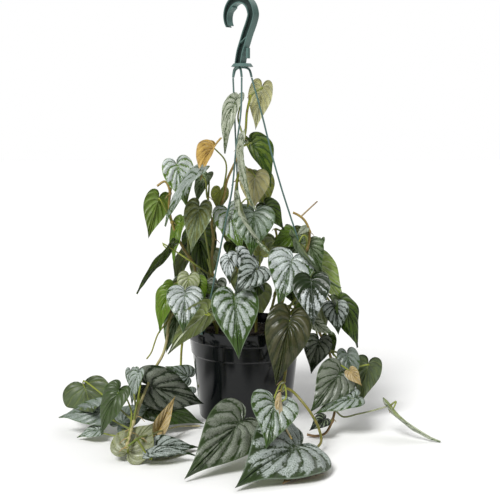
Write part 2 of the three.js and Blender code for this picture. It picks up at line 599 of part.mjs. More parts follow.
// The hook's middle line in its own upright plane, from the tip over the top and down the shank.
const HOOK_BEND = [212, 195, 172, 149, 126, 103, 80, 57, 34, 12, 0].map((degrees) => {
  const angle = THREE.MathUtils.degToRad(degrees);
  return flat(HOOK_ARC_AT.along + HOOK_ARC * Math.cos(angle), HOOK_ARC_AT.up + HOOK_ARC * Math.sin(angle));
});
const HOOK_SHANK = [flat(10, 497), flat(4.5, 486), flat(-0.5, 474), flat(-5, 463), flat(-8, 450)];
const HOOK_LINE = [...HOOK_BEND, ...HOOK_SHANK];

// Turns a shape made in the hook's plane, with its thickness along Z, to stand as the hook does.
function stood(geometry) {
  return solid(geometry.rotateX(Math.PI / 2).rotateZ(THREE.MathUtils.degToRad(-HOOK_TURN)));
}

// An outline in the hook's plane made `width` thick.
function hookPlate(outline, width) {
  const plate = new THREE.ExtrudeGeometry(new THREE.Shape(outline), { depth: width, bevelEnabled: false });
  return stood(plate.translate(0, 0, -width / 2));
}

// The crook and shank: a bar with a channel on both faces, swept along the hook's middle line.
function crook() {
  const half = HOOK_SECTION / 2;
  const inside = half - HOOK_FLANGE;
  const web = HOOK_WEB / 2;
  const quarter = [[half, half], [inside, half], [inside, web]];
  const far = quarter.map(([offset, side]) => [-offset, side]).reverse();
  const upper = [...quarter, ...far];
  const section = [...upper, ...upper.map(([offset, side]) => [offset, -side]).reverse()];
  const rings = HOOK_LINE.map((p, i) => {
    const before = HOOK_LINE[Math.max(i - 1, 0)];
    const ahead = HOOK_LINE[Math.min(i + 1, HOOK_LINE.length - 1)].clone().sub(before).normalize();
    const taper = Math.min(1, HOOK_TIP + (1 - HOOK_TIP) * (i / 3));
    const out = flat(-ahead.y, ahead.x).multiplyScalar(taper);
    return section.map(([offset, side]) => at(p.x + out.x * offset, p.y + out.y * offset, side));
  });
  const count = section.length;
  const caps = THREE.ShapeUtils.triangulateShape(section.map(([a, b]) => flat(a, b)), []);
  const index = caps.flatMap(([a, b, c]) => [a, b, c]);
  const last = (rings.length - 1) * count;
  index.push(...caps.flatMap(([a, b, c]) => [last + a, last + c, last + b]));
  for (let ring = 0; ring < last; ring += count) {
    for (let i = 0; i < count; i++) {
      const next = (i + 1) % count;
      const ahead = ring + count;
      index.push(ring + next, ring + i, ahead + i, ring + next, ahead + i, ahead + next);
    }
  }
  const geometry = new THREE.BufferGeometry().setFromPoints(rings.flat());
  geometry.setIndex(index);
  return stood(geometry);
}

// A rib across the hook's channel, from one point of its plane to another.
function rib([a, b]) {
  const along = b.clone().sub(a).normalize();
  const out = flat(-along.y, along.x).multiplyScalar(RIB_THICK / 2);
  const outline = [a.clone().add(out), b.clone().add(out), b.clone().sub(out), a.clone().sub(out)];
  return hookPlate(outline, HOOK_SECTION - 1);
}

// The hook: the crook on its gusset, the plate below and the arches between the strands' feet.
function hook() {
  const disc = new THREE.CylinderGeometry(PLATE_RADIUS - 3, PLATE_RADIUS, PLATE_THICK, 12);
  const plate = solid(disc.rotateX(Math.PI / 2).translate(PLATE_AT.x, PLATE_AT.y, PLATE_AT.up));
  const feet = Object.values(STRANDS).map(({ foot }) => foot);
  const arches = feet.map((a, i) => {
    const b = feet[(i + 1) % feet.length];
    const top = a.clone().lerp(b, 0.5).setZ(PLATE_AT.up - PLATE_THICK / 2 - STRAND_RADIUS / 2);
    const lift = (p) => p.clone().lerp(top, 0.3).setZ(THREE.MathUtils.lerp(p.z, top.z, 0.8));
    return tube([a, lift(a), top, lift(b), b], ARCH_RADIUS, 5, 6);
  });
  const body = [crook(), ...RIBS.map(rib), hookPlate(GUSSET, HOOK_WEB), plate, ...arches];
  return wasm.Manifold.union(body).subtract(hookPlate(GUSSET_SLOT, HOOK_SECTION));
}

// A strand: from just under its foot on the hook down to a clip that straddles the pot's rim.
function strand({ foot, route, degrees }) {
  const wall = RIM_RADIUS - POT_WALL / 2;
  const middle = POT_HEIGHT + 2 * SEAT_GAP + CLIP_THICK / 2;
  const span = POT_WALL + 2 * CLIP_THICK + CLIP_PLAY;
  const bridge = boxAt(degrees, wall, middle, [span, CLIP_WIDTH, CLIP_THICK]);
  const leg = (side, drop) => {
    const away = (side * (span - CLIP_THICK)) / 2;
    return boxAt(degrees, wall + away, middle - drop / 2, [CLIP_THICK, CLIP_WIDTH, drop]);
  };
  const legs = [leg(-1, CLIP_LEGS.inner), leg(1, CLIP_LEGS.outer)];
  const start = foot.clone().setZ(foot.z - 2 * SEAT_GAP);
  const end = round(degrees, wall, middle);
  const path = [start, ...route, end.clone().setZ(end.z + 8), end];
  return wasm.Manifold.union([tube(path, STRAND_RADIUS, 6, 2 * route.length + 2), bridge, ...legs]);
}

const plant = new THREE.Group();

// Puts one piece in the group, with a material of its own.
function place(name, body, color, roughness) {
  const mesh = new THREE.Mesh(geometryOf(body),
    new THREE.MeshStandardMaterial({ color, roughness, metalness: 0 }));
  mesh.name = name;
  plant.add(mesh);
}

place("pot", pot(), POT_BLACK, 0.3);
place("soil", soil(), SOIL_BROWN, 0.95);
place("hanger_hook", hook(), HANGER_GREEN, 0.45);
for (const [name, shape] of Object.entries(STRANDS)) place(name, strand(shape), shape.colour, 0.5);
for (const [name, vine] of Object.entries(VINES)) place(name, leafyStem(vine), vine.colour, 0.5);

export default plant;
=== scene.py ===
"""A potted philodendron brandtianum in a hanging pot that stands on a surface.

Sizes are in millimetres until a piece's mesh is made, which is in metres. The origin is the middle
of the pot's underside, +Z is up and the viewer is at -Y.
"""

import math

import bpy
import numpy as np
from bpy.props import FloatProperty, FloatVectorProperty, IntProperty, PointerProperty
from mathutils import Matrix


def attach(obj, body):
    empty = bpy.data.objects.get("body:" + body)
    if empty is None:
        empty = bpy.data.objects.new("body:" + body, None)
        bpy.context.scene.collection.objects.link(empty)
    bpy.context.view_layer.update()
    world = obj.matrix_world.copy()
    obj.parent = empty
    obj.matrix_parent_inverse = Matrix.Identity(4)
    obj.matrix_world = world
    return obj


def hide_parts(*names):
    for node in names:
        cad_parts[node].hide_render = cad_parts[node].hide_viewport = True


bl_info = {
    "name": "Potted philodendron",
    "version": (1, 0, 0),
    "blender": (4, 5, 0),
    "location": "3D View > Sidebar > Plant",
    "description": "Builds a hanging pot, its compost, its hanger and the leafy stems",
    "category": "Add Mesh",
}

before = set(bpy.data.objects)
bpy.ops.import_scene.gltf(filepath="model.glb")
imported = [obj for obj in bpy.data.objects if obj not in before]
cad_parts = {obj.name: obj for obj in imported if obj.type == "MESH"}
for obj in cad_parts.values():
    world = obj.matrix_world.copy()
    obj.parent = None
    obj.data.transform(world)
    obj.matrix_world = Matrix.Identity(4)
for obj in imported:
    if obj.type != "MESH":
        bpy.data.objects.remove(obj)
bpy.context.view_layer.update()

# Millimetres to metres.
MM = 0.001

# The place from which the plant was measured, in a square picture of 500 pixels.
EYE = np.array((6.2, -1240.0, 373.0))
LOOK_DOWN = math.radians(7.3)
FOCAL = 977
PICTURE = 500

# The pot, which is as wide and as high as its solid. A size is radial, sideways and upright.
POT_HEIGHT = 119
RIM_RADIUS = 75
RIM_LEAN = 0.6
BASE_RADIUS = 59
POT_WALL = 1.6
POT_CORNER = 0.9
POT_SIDES = 160
RIM_BAND = 17
SECOND_BAND = 20
BAND_STEP = 1.6
DRAIN_HOLES = 8
DRAIN_RADIUS = 4
DRAIN_RING = 42
DRAIN_SIDES = 24
POT_FLOOR = 2
POCKET_DROP = 11
POCKET_SIZE = (2.4, 9, 9)
POT_EDGE = 0.3

# What fills the pot, and the chips of bark on it, whose sizes are drawn between the smallest and
# the largest.
SOIL_EDGE = 104
SOIL_CROWN = 109
SOIL_SIDES = 128
SOIL_RINGS = 40
LUMP_RISE = 0.7
SEAT_GAP = 0.3
ROOT_DEPTH = 24
CHIP_SEED = 7
CHIP_SMALLEST = (3, 2, 1)
CHIP_LARGEST = (8, 5, 2.4)
CHIP_LIFT = 0.9

# The hook. Its crook's section has its corners numbered round, and its outlines are given in its own
# upright plane.
HOOK_TURN = 42
HOOK_SECTION = 10.5
HOOK_FLANGE = 1.6
HOOK_WEB = 2.4
HOOK_TIP = 0.45
HOOK_ARC = 21.3
HOOK_ARC_AT = (-7.7, 507)
CROOK_TURNS = (212, 195, 172, 149, 126, 103, 80, 57, 34, 12, 0)
CROOK_RINGS = 90
TIP_RINGS = 19
SECTION_CORNERS = 12
# The corners at the bottom of the channel, where the colour is darkened as painted shade.
CHANNEL_CORNERS = (2, 3, 8, 9)
SHANK = ((10, 497), (4.5, 486), (-0.5, 474), (-5, 463), (-8.4, 448))
GUSSET = ((-13, 455), (-11, 447), (9, 447), (8, 476), (4, 480), (-3, 462))
GUSSET_SLOT = ((3.5, 455), (6.5, 455), (6.5, 468), (3.5, 468))
RIBS = (((-5, 474), (6, 481)), ((7, 503), (17, 515)), ((-26, 512), (-17, 519)))
RIB_THICK = 1.4
PLATE_AT = (-3.6, 1, 447)
PLATE_RADIUS = 14
PLATE_THICK = 4
PLATE_SLOPE = 3
PLATE_SIDES = 48
ARCH_FOOT = 432
HOOK_EDGE = 0.35

# The strands, and the clip at the end of each, whose legs stand inside and outside the rim. A strand
# comes down to its clip from CLIP_RISE above.
STRAND_RADIUS = 1.1
STRAND_SIDES = 12
STRAND_EDGE = 0.3
ARCH_RADIUS = 1.3 * STRAND_RADIUS
ARCH_SIDES = 16
CLIP_ANGLES = (-16.3, 223.7, 103.7)
CLIP_THICK = 1.6
CLIP_WIDTH = 7
CLIP_OUT = 2.1
CLIP_RISE = 8
INNER_LEG = 9
OUTER_LEG = 5

# The plant. A share is of a blade's length, or of a stem's or a stalk's radius.
OUT_RISE = 30
BLADE_WIDTH = 0.72
FOLD_ROUND = 0.02
EDGE_WAVE = 0.02
LONG_WAVE = 0.008
SHORT_WAVE = 0.006
KNEE_BACK = 0.03
KNEE_BEHIND = 0.12
STALK_END = 0.06
STALK_TAPER = (1.15, 0.75)
STEM_TAPER = 0.25
JOINT_SWELL = 0.45
JOINT_LENGTH = 1.8
ROOT_LENGTHS = (5, 11)
ROOT_RADII = (0.75, 0.3)
LOWEST_ROOT = 12
STEM_SIDES = 12
STALK_SIDES = 8
ROOT_SIDES = 6

# Random draws start from a number for each vine, and for each of its stems, stalks and blades. The
# patterns of two neighbours lie PATTERN_SHIFT apart.
VINE_SEEDS = 100
STALK_SEEDS = 20
BLADE_SEEDS = 50
PATTERN_SHIFT = 0.37

# The stage: half the floor's width, and each light's name, direction, width in degrees and strength.
FLOOR_HALF = 9000
FLOOR_DROP = 0.05
FLOOR_CORNERS = ((-1, -1), (1, -1), (1, 1), (-1, 1))
LIGHTS = (
    ("key", (-0.5, -0.75, 1.0), 24, 3.0),
    ("back", (0.5, 0.6, 1.0), 50, 0.7),
)
FILL_LIGHT = 0.3
SENSOR = 36


def at(x, y, z):
    """A point in millimetres."""
    return np.array((x, y, z), float)


def seen(px, py, near):
    """The point on the line of sight through a pixel, near mm in front of the pot's axis."""
    across = (px - PICTURE / 2) / FOCAL
    up = (PICTURE / 2 - py) / FOCAL
    ray = at(
        across,
        math.cos(LOOK_DOWN) + up * math.sin(LOOK_DOWN),
        up * math.cos(LOOK_DOWN) - math.sin(LOOK_DOWN),
    )
    return EYE + ray * ((-near - EYE[1]) / ray[1])


def about(degrees, radius, up):
    """The point radius mm from the pot's axis, at degrees round from +X, up mm high."""
    angle = math.radians(degrees)
    return at(radius * math.cos(angle), radius * math.sin(angle), up)


def leaf(look, base, tip, on, turn=0, wide=0.7, fold=0.14, bend=0.07, out=False, by=None):
    """One leaf: its look, the end of its stalk, its tip, the stem and place that it grows from,
    its turn about its midrib, its width as a share of its length, how far it is folded and arched,
    whether it faces out from the pot, and a point that its stalk passes."""
    return {
        "look": look, "base": base, "tip": tip, "on": on, "turn": turn, "wide": wide, "fold": fold,
        "bend": bend, "out": out, "by": by,
    }


STRANDS = {
    "strand_right": {
        "foot": at(PLATE_AT[0] + 11.9, PLATE_AT[1] - 3, ARCH_FOOT),
        "route": [seen(262, 115, 6), seen(272, 155, 10), seen(282, 190, 13), seen(290, 215, 15),
                  seen(298, 240, 17), seen(302.5, 262, 19), seen(304, 290, 20)],
        "degrees": CLIP_ANGLES[0],
    },
    "strand_front": {
        "foot": at(PLATE_AT[0] - 0.5, PLATE_AT[1] - 10, ARCH_FOOT),
        "route": [seen(241, 110, 18), seen(236, 150, 26), seen(232, 190, 32), seen(228, 210, 36),
                  seen(222, 240, 41), seen(216, 270, 45), seen(210, 300, 49)],
        "degrees": CLIP_ANGLES[1],
    },
    "strand_back": {
        "foot": at(PLATE_AT[0] - 11.5, PLATE_AT[1] + 6, ARCH_FOOT),
        "route": [seen(234, 100, -16), seen(235, 125, -24), seen(236.5, 160, -36),
                  seen(238, 200, -48), seen(239, 240, -60), seen(238, 280, -68)],
        "degrees": CLIP_ANGLES[2],
    },
}

# Each leafy stem lists its stems, the first of which is rooted, and its leaves.
VINES = {
    "vine_centre_tall": {
        "stems": [
            [at(2, 8, 118), seen(244, 290, 0), seen(239, 250, 2), seen(235, 205, 4), seen(237.3, 180, 6),
             seen(242.5, 159, 6), seen(242, 147, 5), seen(245.5, 131, 4), seen(247, 112, 2),
             seen(250.8, 95, 1)],
        ],
        "leaves": [
            leaf("under_olive", seen(262, 87, -8), seen(255.5, 130, 2), on=(0, 1), turn=172, wide=0.56),
            leaf("dark_veined", seen(250.5, 142, -10), seen(270.8, 187, -2),
                 on=(0, 0.83), turn=-42, wide=0.66, fold=0.5),
            leaf("under_tan", seen(255, 175, 16), seen(252.5, 212, 22), on=(0, 0.73), turn=178, wide=0.82),
            leaf("yellow_green", seen(262, 178, -8), seen(268, 209, -4), on=(0, 0.66), turn=170, wide=0.8),
            leaf("silver_pale", seen(244, 142, 42), seen(256.2, 209.7, 54), on=(0, 0.8), turn=74, wide=0.42),
        ],
    },
    "vine_centre_left": {
        "stems": [
            [at(-22, -6, 118), seen(214, 285, 12), seen(212, 256, 16), seen(213.4, 238, 16),
             seen(212, 221, 16), seen(218, 212, 16), seen(224.5, 195, 16), seen(227, 180.6, 16),
             seen(234.8, 163, 15), seen(240, 149, 15), seen(242, 133, 12)],
            [seen(212, 221, 16), seen(209.5, 207, 22), seen(207, 196.6, 30)],
        ],
        "leaves": [
            leaf("silver_pale", seen(236, 101, -3), seen(225.5, 153.8, 5),
                 on=(0, 1), turn=50, wide=0.48, by=seen(238, 118, 2)),
            leaf("ochre", seen(214.9, 146.5, 22), seen(201, 180.6, 58),
                 on=(0, 0.63), turn=44, wide=0.56, fold=0.6, by=seen(226, 163, 18)),
            leaf("silver_grey", seen(199.5, 173, 54), seen(165.8, 226.8, 62), on=(1, 1), turn=73, wide=0.64),
            leaf("grey_green", seen(206.5, 176, 12), seen(197, 205, 24), on=(1, 0.8), turn=50, wide=0.72),
            leaf("yellow_green", seen(220.5, 190, 4), seen(218.5, 213, 10), on=(0, 0.5), turn=170, wide=0.8),
            leaf("olive_veined", seen(199.6, 206.5, 44), seen(190.9, 253.3, 54),
                 on=(0, 0.33), turn=8, wide=0.58),
            leaf("dark", seen(199, 233, -16), seen(207, 280, -8), on=(0, 0.3), turn=12, wide=0.76),
            leaf("dark", seen(168.5, 245.5, 44), seen(136.5, 293.8, 50),
                 on=(0, 0.32), turn=-72, wide=0.5, bend=-0.04, by=seen(190, 261, 46)),
        ],
    },
    "vine_left": {
        "stems": [
            [at(-38, 4, 118), seen(198, 285, -2), seen(193.5, 264, 0), seen(184.3, 250, 6),
             seen(176.6, 235, 10), seen(172, 222.6, 14), seen(169, 207, 18), seen(169.7, 190.5, 20),
             seen(165, 181.5, 22), seen(157, 186, 24)],
        ],
        "leaves": [
            leaf("silver_bright", seen(176.5, 164, 26), seen(187, 208, 34), on=(0, 0.88), turn=-4, wide=0.7),
            leaf("leaf_below", seen(159, 197.5, 24), seen(148.3, 238.7, 34),
                 on=(0, 0.72), turn=172, wide=0.62),
            leaf("green", seen(181, 222, 12), seen(174.6, 265.5, 18), on=(0, 0.5), turn=58, wide=0.56),
        ],
    },
    "vine_centre_right": {
        "stems": [
            [at(14, -12, 118), seen(256, 296, 16), seen(253, 268, 20), seen(249, 240, 18),
             seen(247, 222, 12)],
        ],
        "leaves": [
            leaf("silver_bright", seen(228, 210, 24), seen(242, 252, 36), on=(0, 0.9), turn=-6, wide=0.78),
            leaf("silver_sage", seen(254.5, 212, 32), seen(251, 257, 58), on=(0, 0.95), turn=0, wide=0.88),
            leaf("under_yellow", seen(260, 254, 40), seen(262, 236, 12),
                 on=(0, 0.35), turn=178, wide=0.72, by=seen(259.5, 272, 38)),
            leaf("silver_pale", seen(240, 200, 44), seen(270.5, 253.5, 66), on=(0, 1), turn=79, wide=0.5),
            leaf("dark", seen(265, 205, 4), seen(284, 230, 10), on=(0, 1), turn=-20, wide=0.75),
            leaf("dark", seen(232, 243, 9), seen(252, 266, 16), on=(0, 0.5), turn=0, wide=0.7),
        ],
    },
    "vine_right": {
        "stems": [
            [at(38, 2, 118), seen(286, 290, 6), seen(300, 262, 8), seen(308, 246, 10),
             seen(309.5, 232, 10), seen(305, 221, 10), seen(299, 215.5, 10), seen(293, 212.5, 10)],
            [seen(301, 216.5, 10), seen(308, 210, 10), seen(317.5, 201.2, 10)],
        ],
        "leaves": [
            leaf("fresh", seen(293.7, 235, 6), seen(270.8, 247, 20), on=(0, 0.7), turn=14, wide=0.84),
            leaf("grey_green", seen(303, 243, 4), seen(282, 254, 8), on=(0, 0.66), turn=20, wide=0.84),
            leaf("silver_smoky", seen(293, 258, 34), seen(277.7, 306, 78), on=(0, 0.5), turn=2, wide=0.82),
            leaf("under_fresh", seen(317, 262, 2), seen(345.5, 302, 15),
                 on=(0, 0.48), turn=162, wide=0.72, fold=0.2),
            leaf("grey_green", seen(297, 238, 40), seen(341, 288, 54),
                 on=(0, 0.6), turn=80, wide=0.5, by=seen(307, 239, 36)),
            leaf("grey_green", seen(321, 241, -10), seen(321, 264, -4), on=(0, 0.55), turn=55, wide=0.7),
            leaf("grey_green", seen(309, 244, 6), seen(322, 272, 10), on=(0, 0.6), turn=0, wide=0.84),
            leaf("silver_pale", seen(306, 228, 20), seen(296, 236, 26), on=(0, 0.82), turn=10, wide=0.6),
        ],
    },
    "vine_right_front": {
        "stems": [
            [at(36, -32, 118), seen(290, 306, 40), seen(302, 292, 44), seen(314, 288, 44),
             seen(326, 292, 40)],
        ],
        "leaves": [
            # Its darker upper part is painted shade, from the leaf above.
            leaf("silver_shade_topped", seen(311, 279, 74), seen(313.4, 326, 92),
                 on=(0, 0.5), turn=0, wide=0.8, bend=0.14),
            leaf("olive", seen(290.5, 317, 84), seen(275.4, 386.2, 98), on=(0, 0.2), turn=0, wide=0.65),
            leaf("dark", seen(340, 301, 34), seen(357, 348, 50), on=(0, 1), turn=-52, wide=0.7),
            leaf("dark_green", seen(345, 318, 22), seen(358, 347, 30), on=(0, 0.95), turn=-30, wide=0.66),
            leaf("silver_patchy", seen(335, 305, 46), seen(338.5, 335, 62), on=(0, 0.9), turn=-4, wide=0.86),
            leaf("silver_pale", seen(313, 320, 60), seen(335.5, 335, 68), on=(0, 0.5), turn=30, wide=0.6),
            leaf("green", seen(303, 306, 44), seen(310, 327, 50), on=(0, 0.3), turn=0, wide=0.7),
            leaf("dark", seen(287, 288, 26), seen(296, 306, 32), on=(0, 0.15), turn=0, wide=0.6),
        ],
    },
    "vine_front_centre": {
        "stems": [
            [at(0, -38, 118), seen(247, 306, 44), seen(244, 288, 44), seen(238, 270, 40),
             seen(234, 258, 34)],
        ],
        "leaves": [
            leaf("silver_fresh", seen(234.5, 296, 74), seen(239, 359.7, 100),
                 on=(0, 0.4), turn=0, wide=0.74),
            leaf("silver_patchy", seen(258, 268, 68), seen(234.5, 295, 92), on=(0, 0.6), turn=8, wide=0.84),
            leaf("silver_striped", seen(230, 257, 52), seen(230, 284, 62), on=(0, 0.9), turn=40, wide=0.82),
            leaf("silver_striped", seen(238, 255, 54), seen(264, 292, 62), on=(0, 0.9), turn=-40, wide=0.62),
            leaf("dark_silver", seen(217, 283, 30), seen(214, 318, 38), on=(0, 0.5), turn=30, wide=0.7),
            leaf("dark", seen(258, 284, 50), seen(244, 302, 56), on=(0, 0.4), turn=0, wide=0.8),
        ],
    },
    "vine_front_left": {
        "stems": [
            [at(-36, -26, 118), seen(204, 306, 34), seen(196, 292, 38), seen(186, 284, 38),
             seen(176, 284, 36), seen(172, 294, 34)],
            [seen(172, 294, 34), seen(169, 318, 46), seen(158, 334, 52), seen(151, 353, 54),
             seen(146.6, 359, 54)],
        ],
        "leaves": [
            leaf("green", seen(169, 291, 50), seen(160, 333, 62), on=(0, 0.95), turn=40, wide=0.6),
            leaf("silver_smoky", seen(185, 292, 60), seen(183, 334, 92), on=(0, 0.7), turn=0, wide=0.8),
            leaf("under_pale", seen(207.9, 312.2, 70), seen(168, 354.5, 96),
                 on=(0, 0.3), turn=140, wide=0.6, by=seen(202, 309, 52)),
            leaf("green", seen(173, 285, 44), seen(162, 304, 48), on=(0, 0.9), turn=0, wide=0.84),
            leaf("pale_green", seen(189, 276, 42), seen(186, 304, 48), on=(0, 0.6), turn=0, wide=0.8),
            leaf("green", seen(197, 280, 40), seen(206, 300, 42), on=(0, 0.4), turn=0, wide=0.8),
            leaf("dark", seen(206, 287, 40), seen(216, 296, 41), on=(0, 0.5), turn=0, wide=0.7),
        ],
    },
    "vine_left_trailing": {
        "stems": [
            [at(-52, -16, 118), seen(196, 303, 20), seen(183, 306, 28), seen(172, 315, 36),
             seen(168.6, 324.6, 40), seen(167.3, 337, 44), seen(163.2, 353.7, 54), seen(154.9, 368.6, 68),
             seen(148, 384, 90), seen(141, 402, 120), seen(133, 424, 160), seen(126.5, 447.5, 200)],
            [seen(126.5, 447.5, 200), seen(136, 440, 192), seen(150, 434.5, 160), seen(165, 430, 120),
             seen(179, 426.5, 90), seen(191, 426, 72), seen(200, 426, 70)],
        ],
        "leaves": [
            leaf("under_dark", seen(84, 385.5, 50), seen(93, 412, 122),
                 on=(0, 0.85), turn=180, wide=0.78, by=seen(108, 399, 96)),
            leaf("silver_blue", seen(106, 413, 100), seen(58.8, 417.8, 84), on=(0, 0.9), turn=36, wide=0.62),
            leaf("silver_blue", seen(120, 424, 104), seen(153, 403, 74), on=(0, 0.92), turn=-38, wide=0.7),
            leaf("dusk", seen(119.4, 390.6, 138), seen(101.7, 435, 140),
                 on=(0, 1), turn=35, wide=0.62, by=seen(131, 410, 142)),
            leaf("silver_grey", seen(131, 371, 80), seen(133, 395, 90), on=(0, 0.8), turn=0, wide=0.5),
            leaf("silver_grey", seen(138.5, 373, 104), seen(132.5, 406, 110),
                 on=(0, 0.86), turn=45, wide=0.56),
            leaf("mottled", seen(147, 385, 88), seen(204, 404, 44), on=(0, 0.82), turn=-8, wide=0.6),
            leaf("dusk", seen(151, 409, 84), seen(203.5, 424, 62), on=(1, 0.6), turn=-30, wide=0.55),
            leaf("tan", seen(156.5, 434, 120), seen(175.5, 395.5, 100),
                 on=(1, 0.35), turn=0, wide=0.36, fold=0.6),
            leaf("ash", seen(128, 453, 188), seen(153.3, 423.5, 142), on=(0, 0.98), turn=-24, wide=0.86),
            leaf("silver_dark", seen(154, 449.5, 170), seen(199, 448, 152),
                 on=(1, 0.15), turn=-44, wide=0.66),
            leaf("silver_dark", seen(150, 455, 196), seen(195, 456, 188), on=(1, 0.1), turn=-62, wide=0.5),
            leaf("silver_grey", seen(100, 430, 116), seen(77, 438, 112), on=(0, 0.95), turn=50, wide=0.76),
            leaf("grey_green", seen(178, 313, 32), seen(166, 353, 40), on=(0, 0.16), turn=10, wide=0.56),
        ],
    },
    "vine_right_trailing": {
        "stems": [
            [at(50, -10, 118), seen(300, 306, 33), seen(313, 320, 38), seen(320.6, 335, 36),
             seen(329, 352, 46), seen(334, 372, 62), seen(336, 394, 80), seen(335, 410, 92),
             seen(331, 424, 100), seen(325, 433.5, 104), seen(316, 436, 106), seen(307, 434.5, 104)],
            [seen(335, 410, 92), seen(343, 416.7, 92), seen(358, 414, 92), seen(372.7, 410.6, 93),
             seen(390, 405.5, 94)],
        ],
        "leaves": [
            leaf("under_dark", seen(368.5, 363, 34), seen(360.5, 404.5, 44),
                 on=(0, 0.45), turn=172, wide=0.72, by=seen(346, 366, 50)),
            leaf("grey_silver", seen(341, 372, 76), seen(310, 412.8, 108), on=(0, 0.6), turn=0, wide=0.74),
            leaf("silver_green", seen(355, 398, 96), seen(314, 415, 104), on=(0, 0.7), turn=35, wide=0.6),
            leaf("tan", seen(350, 371, 92), seen(362, 386, 98), on=(0, 0.55), turn=0, wide=0.7, fold=0.6),
            leaf("silver_blue", seen(347, 354, 46), seen(352, 392, 58), on=(0, 0.5), turn=-10, wide=0.6),
            leaf("dark_silver", seen(319, 340, 40), seen(311, 374.2, 60), on=(0, 0.35), turn=4, wide=0.8),
            leaf("dark", seen(328, 336, 22), seen(334, 357, 28), on=(0, 0.35), turn=0, wide=0.7),
            leaf("silver_pale", seen(391, 405.5, 95), seen(441, 441, 124), on=(1, 1), turn=84, wide=0.36),
            leaf("near_black", seen(325, 419, 110), seen(309, 431, 118), on=(0, 0.85), turn=20, wide=0.8),
        ],
    },
    "vine_front_trailing": {
        "stems": [
            [at(26, -44, 118), seen(283, 318, 62), seen(287, 335, 72), seen(287, 355, 78),
             seen(285, 375, 84), seen(282, 390, 98), seen(286, 388.5, 116), seen(292, 391, 130),
             seen(299, 398, 142), seen(310, 412, 150), seen(318.8, 428.5, 150), seen(321, 442, 154),
             seen(313, 451, 164)],
        ],
        "leaves": [
            leaf("silver_green", seen(274, 401, 200), seen(266, 450, 240),
                 on=(0, 0.5), turn=-12, wide=0.92, fold=0.3, by=seen(278, 388, 170)),
            leaf("grey_silver", seen(242, 421, 188), seen(184, 479.5, 252), on=(0, 0.98), turn=0, wide=0.66),
            leaf("silver_glossy", seen(300, 446, 205), seen(235, 488, 280),
                 on=(0, 1), turn=22, wide=0.86, fold=0.26),
            leaf("brown_dried", at(71, -214, 4.4), at(40, -262, 3.6),
                 on=(0, 1), turn=-124, wide=0.7, fold=0.03, bend=-0.02),
            leaf("tan", seen(281.5, 399, 208), seen(292, 439, 218),
                 on=(0, 0.55), turn=60, wide=0.14, fold=0.4, by=seen(285, 386, 170)),
        ],
    },
    "vine_back_left_trailing": {
        "stems": [
            [at(-30, 40, 118), at(-56, 60, 140), at(-78, 76, 122), at(-88, 84, 70), at(-92, 86, 22),
             at(-100, 78, 4), at(-112, 60, 3)],
        ],
        "leaves": [
            leaf("silver_grey", seen(189, 377, -54), seen(165, 366, -44), on=(0, 0.75), turn=0, wide=0.8),
            leaf("silver_grey", seen(193, 393, -46), seen(181, 387, -40), on=(0, 0.85), turn=0, wide=0.8),
        ],
    },
    "vine_back_right": {
        "stems": [
            [at(32, 30, 118), at(42, 48, 160), at(46, 56, 200), at(40, 54, 236)],
        ],
        "leaves": [
            leaf("silver_green", about(38, 84, 232), about(38, 102, 172), on=(0, 1), wide=0.72, out=True),
            leaf("green", about(60, 80, 218), about(61, 98, 158), on=(0, 0.8), wide=0.74, out=True),
            leaf("silver_grey", about(22, 96, 196), about(22, 116, 140), on=(0, 0.6), wide=0.7, out=True),
            leaf("silver_green", about(50, 92, 170), about(50, 112, 108), on=(0, 0.4), wide=0.74, out=True),
            leaf("green", about(26, 100, 144), about(26, 118, 88), on=(0, 0.25), wide=0.72, out=True),
        ],
    },
    "vine_back_middle": {
        "stems": [
            [at(0, 44, 118), at(3, 56, 180), at(2, 54, 236), at(8, 46, 286)],
        ],
        "leaves": [
            leaf("silver_grey", at(20, 62, 306), at(22, 80, 256), on=(0, 1), wide=0.66, out=True),
            leaf("silver_green", about(98, 76, 248), about(98, 96, 186), on=(0, 0.8), wide=0.74, out=True),
            leaf("green", about(88, 68, 212), about(86, 84, 150), on=(0, 0.6), wide=0.74, out=True),
            leaf("silver_green", about(92, 92, 184), about(94, 110, 122), on=(0, 0.4), wide=0.72, out=True),
            leaf("silver_grey", about(82, 96, 150), about(82, 114, 90), on=(0, 0.2), wide=0.72, out=True),
        ],
    },
    "vine_back_left": {
        "stems": [
            [at(-34, 22, 118), at(-46, 40, 164), at(-50, 44, 206), at(-44, 44, 238)],
        ],
        "leaves": [
            leaf("silver_green", about(132, 80, 236), about(132, 98, 176), on=(0, 1), wide=0.72, out=True),
            leaf("silver_grey", about(152, 84, 210), about(152, 102, 150), on=(0, 0.7), wide=0.7, out=True),
            leaf("green", about(120, 104, 196), about(120, 122, 134), on=(0, 0.6), wide=0.72, out=True),
            leaf("silver_bright", about(140, 94, 164), about(140, 112, 106),
                 on=(0, 0.35), wide=0.74, out=True),
            leaf("silver_green", about(164, 92, 170), about(164, 108, 116), on=(0, 0.4), wide=0.7, out=True),
        ],
    },
}


def srgb(red, green, blue):
    """A colour picked on screen, from 0 to 255, as Blender's linear colour."""
    parts = np.array((red, green, blue)) / 255
    return tuple(np.where(parts <= 0.04045, parts / 12.92, ((parts + 0.055) / 1.055) ** 2.4))


def paint(name, text, *rgb):
    """A colour that the user can change."""
    return FloatVectorProperty(
        name=name, description=text, subtype="COLOR", size=3, min=0, max=1, default=srgb(*rgb)
    )


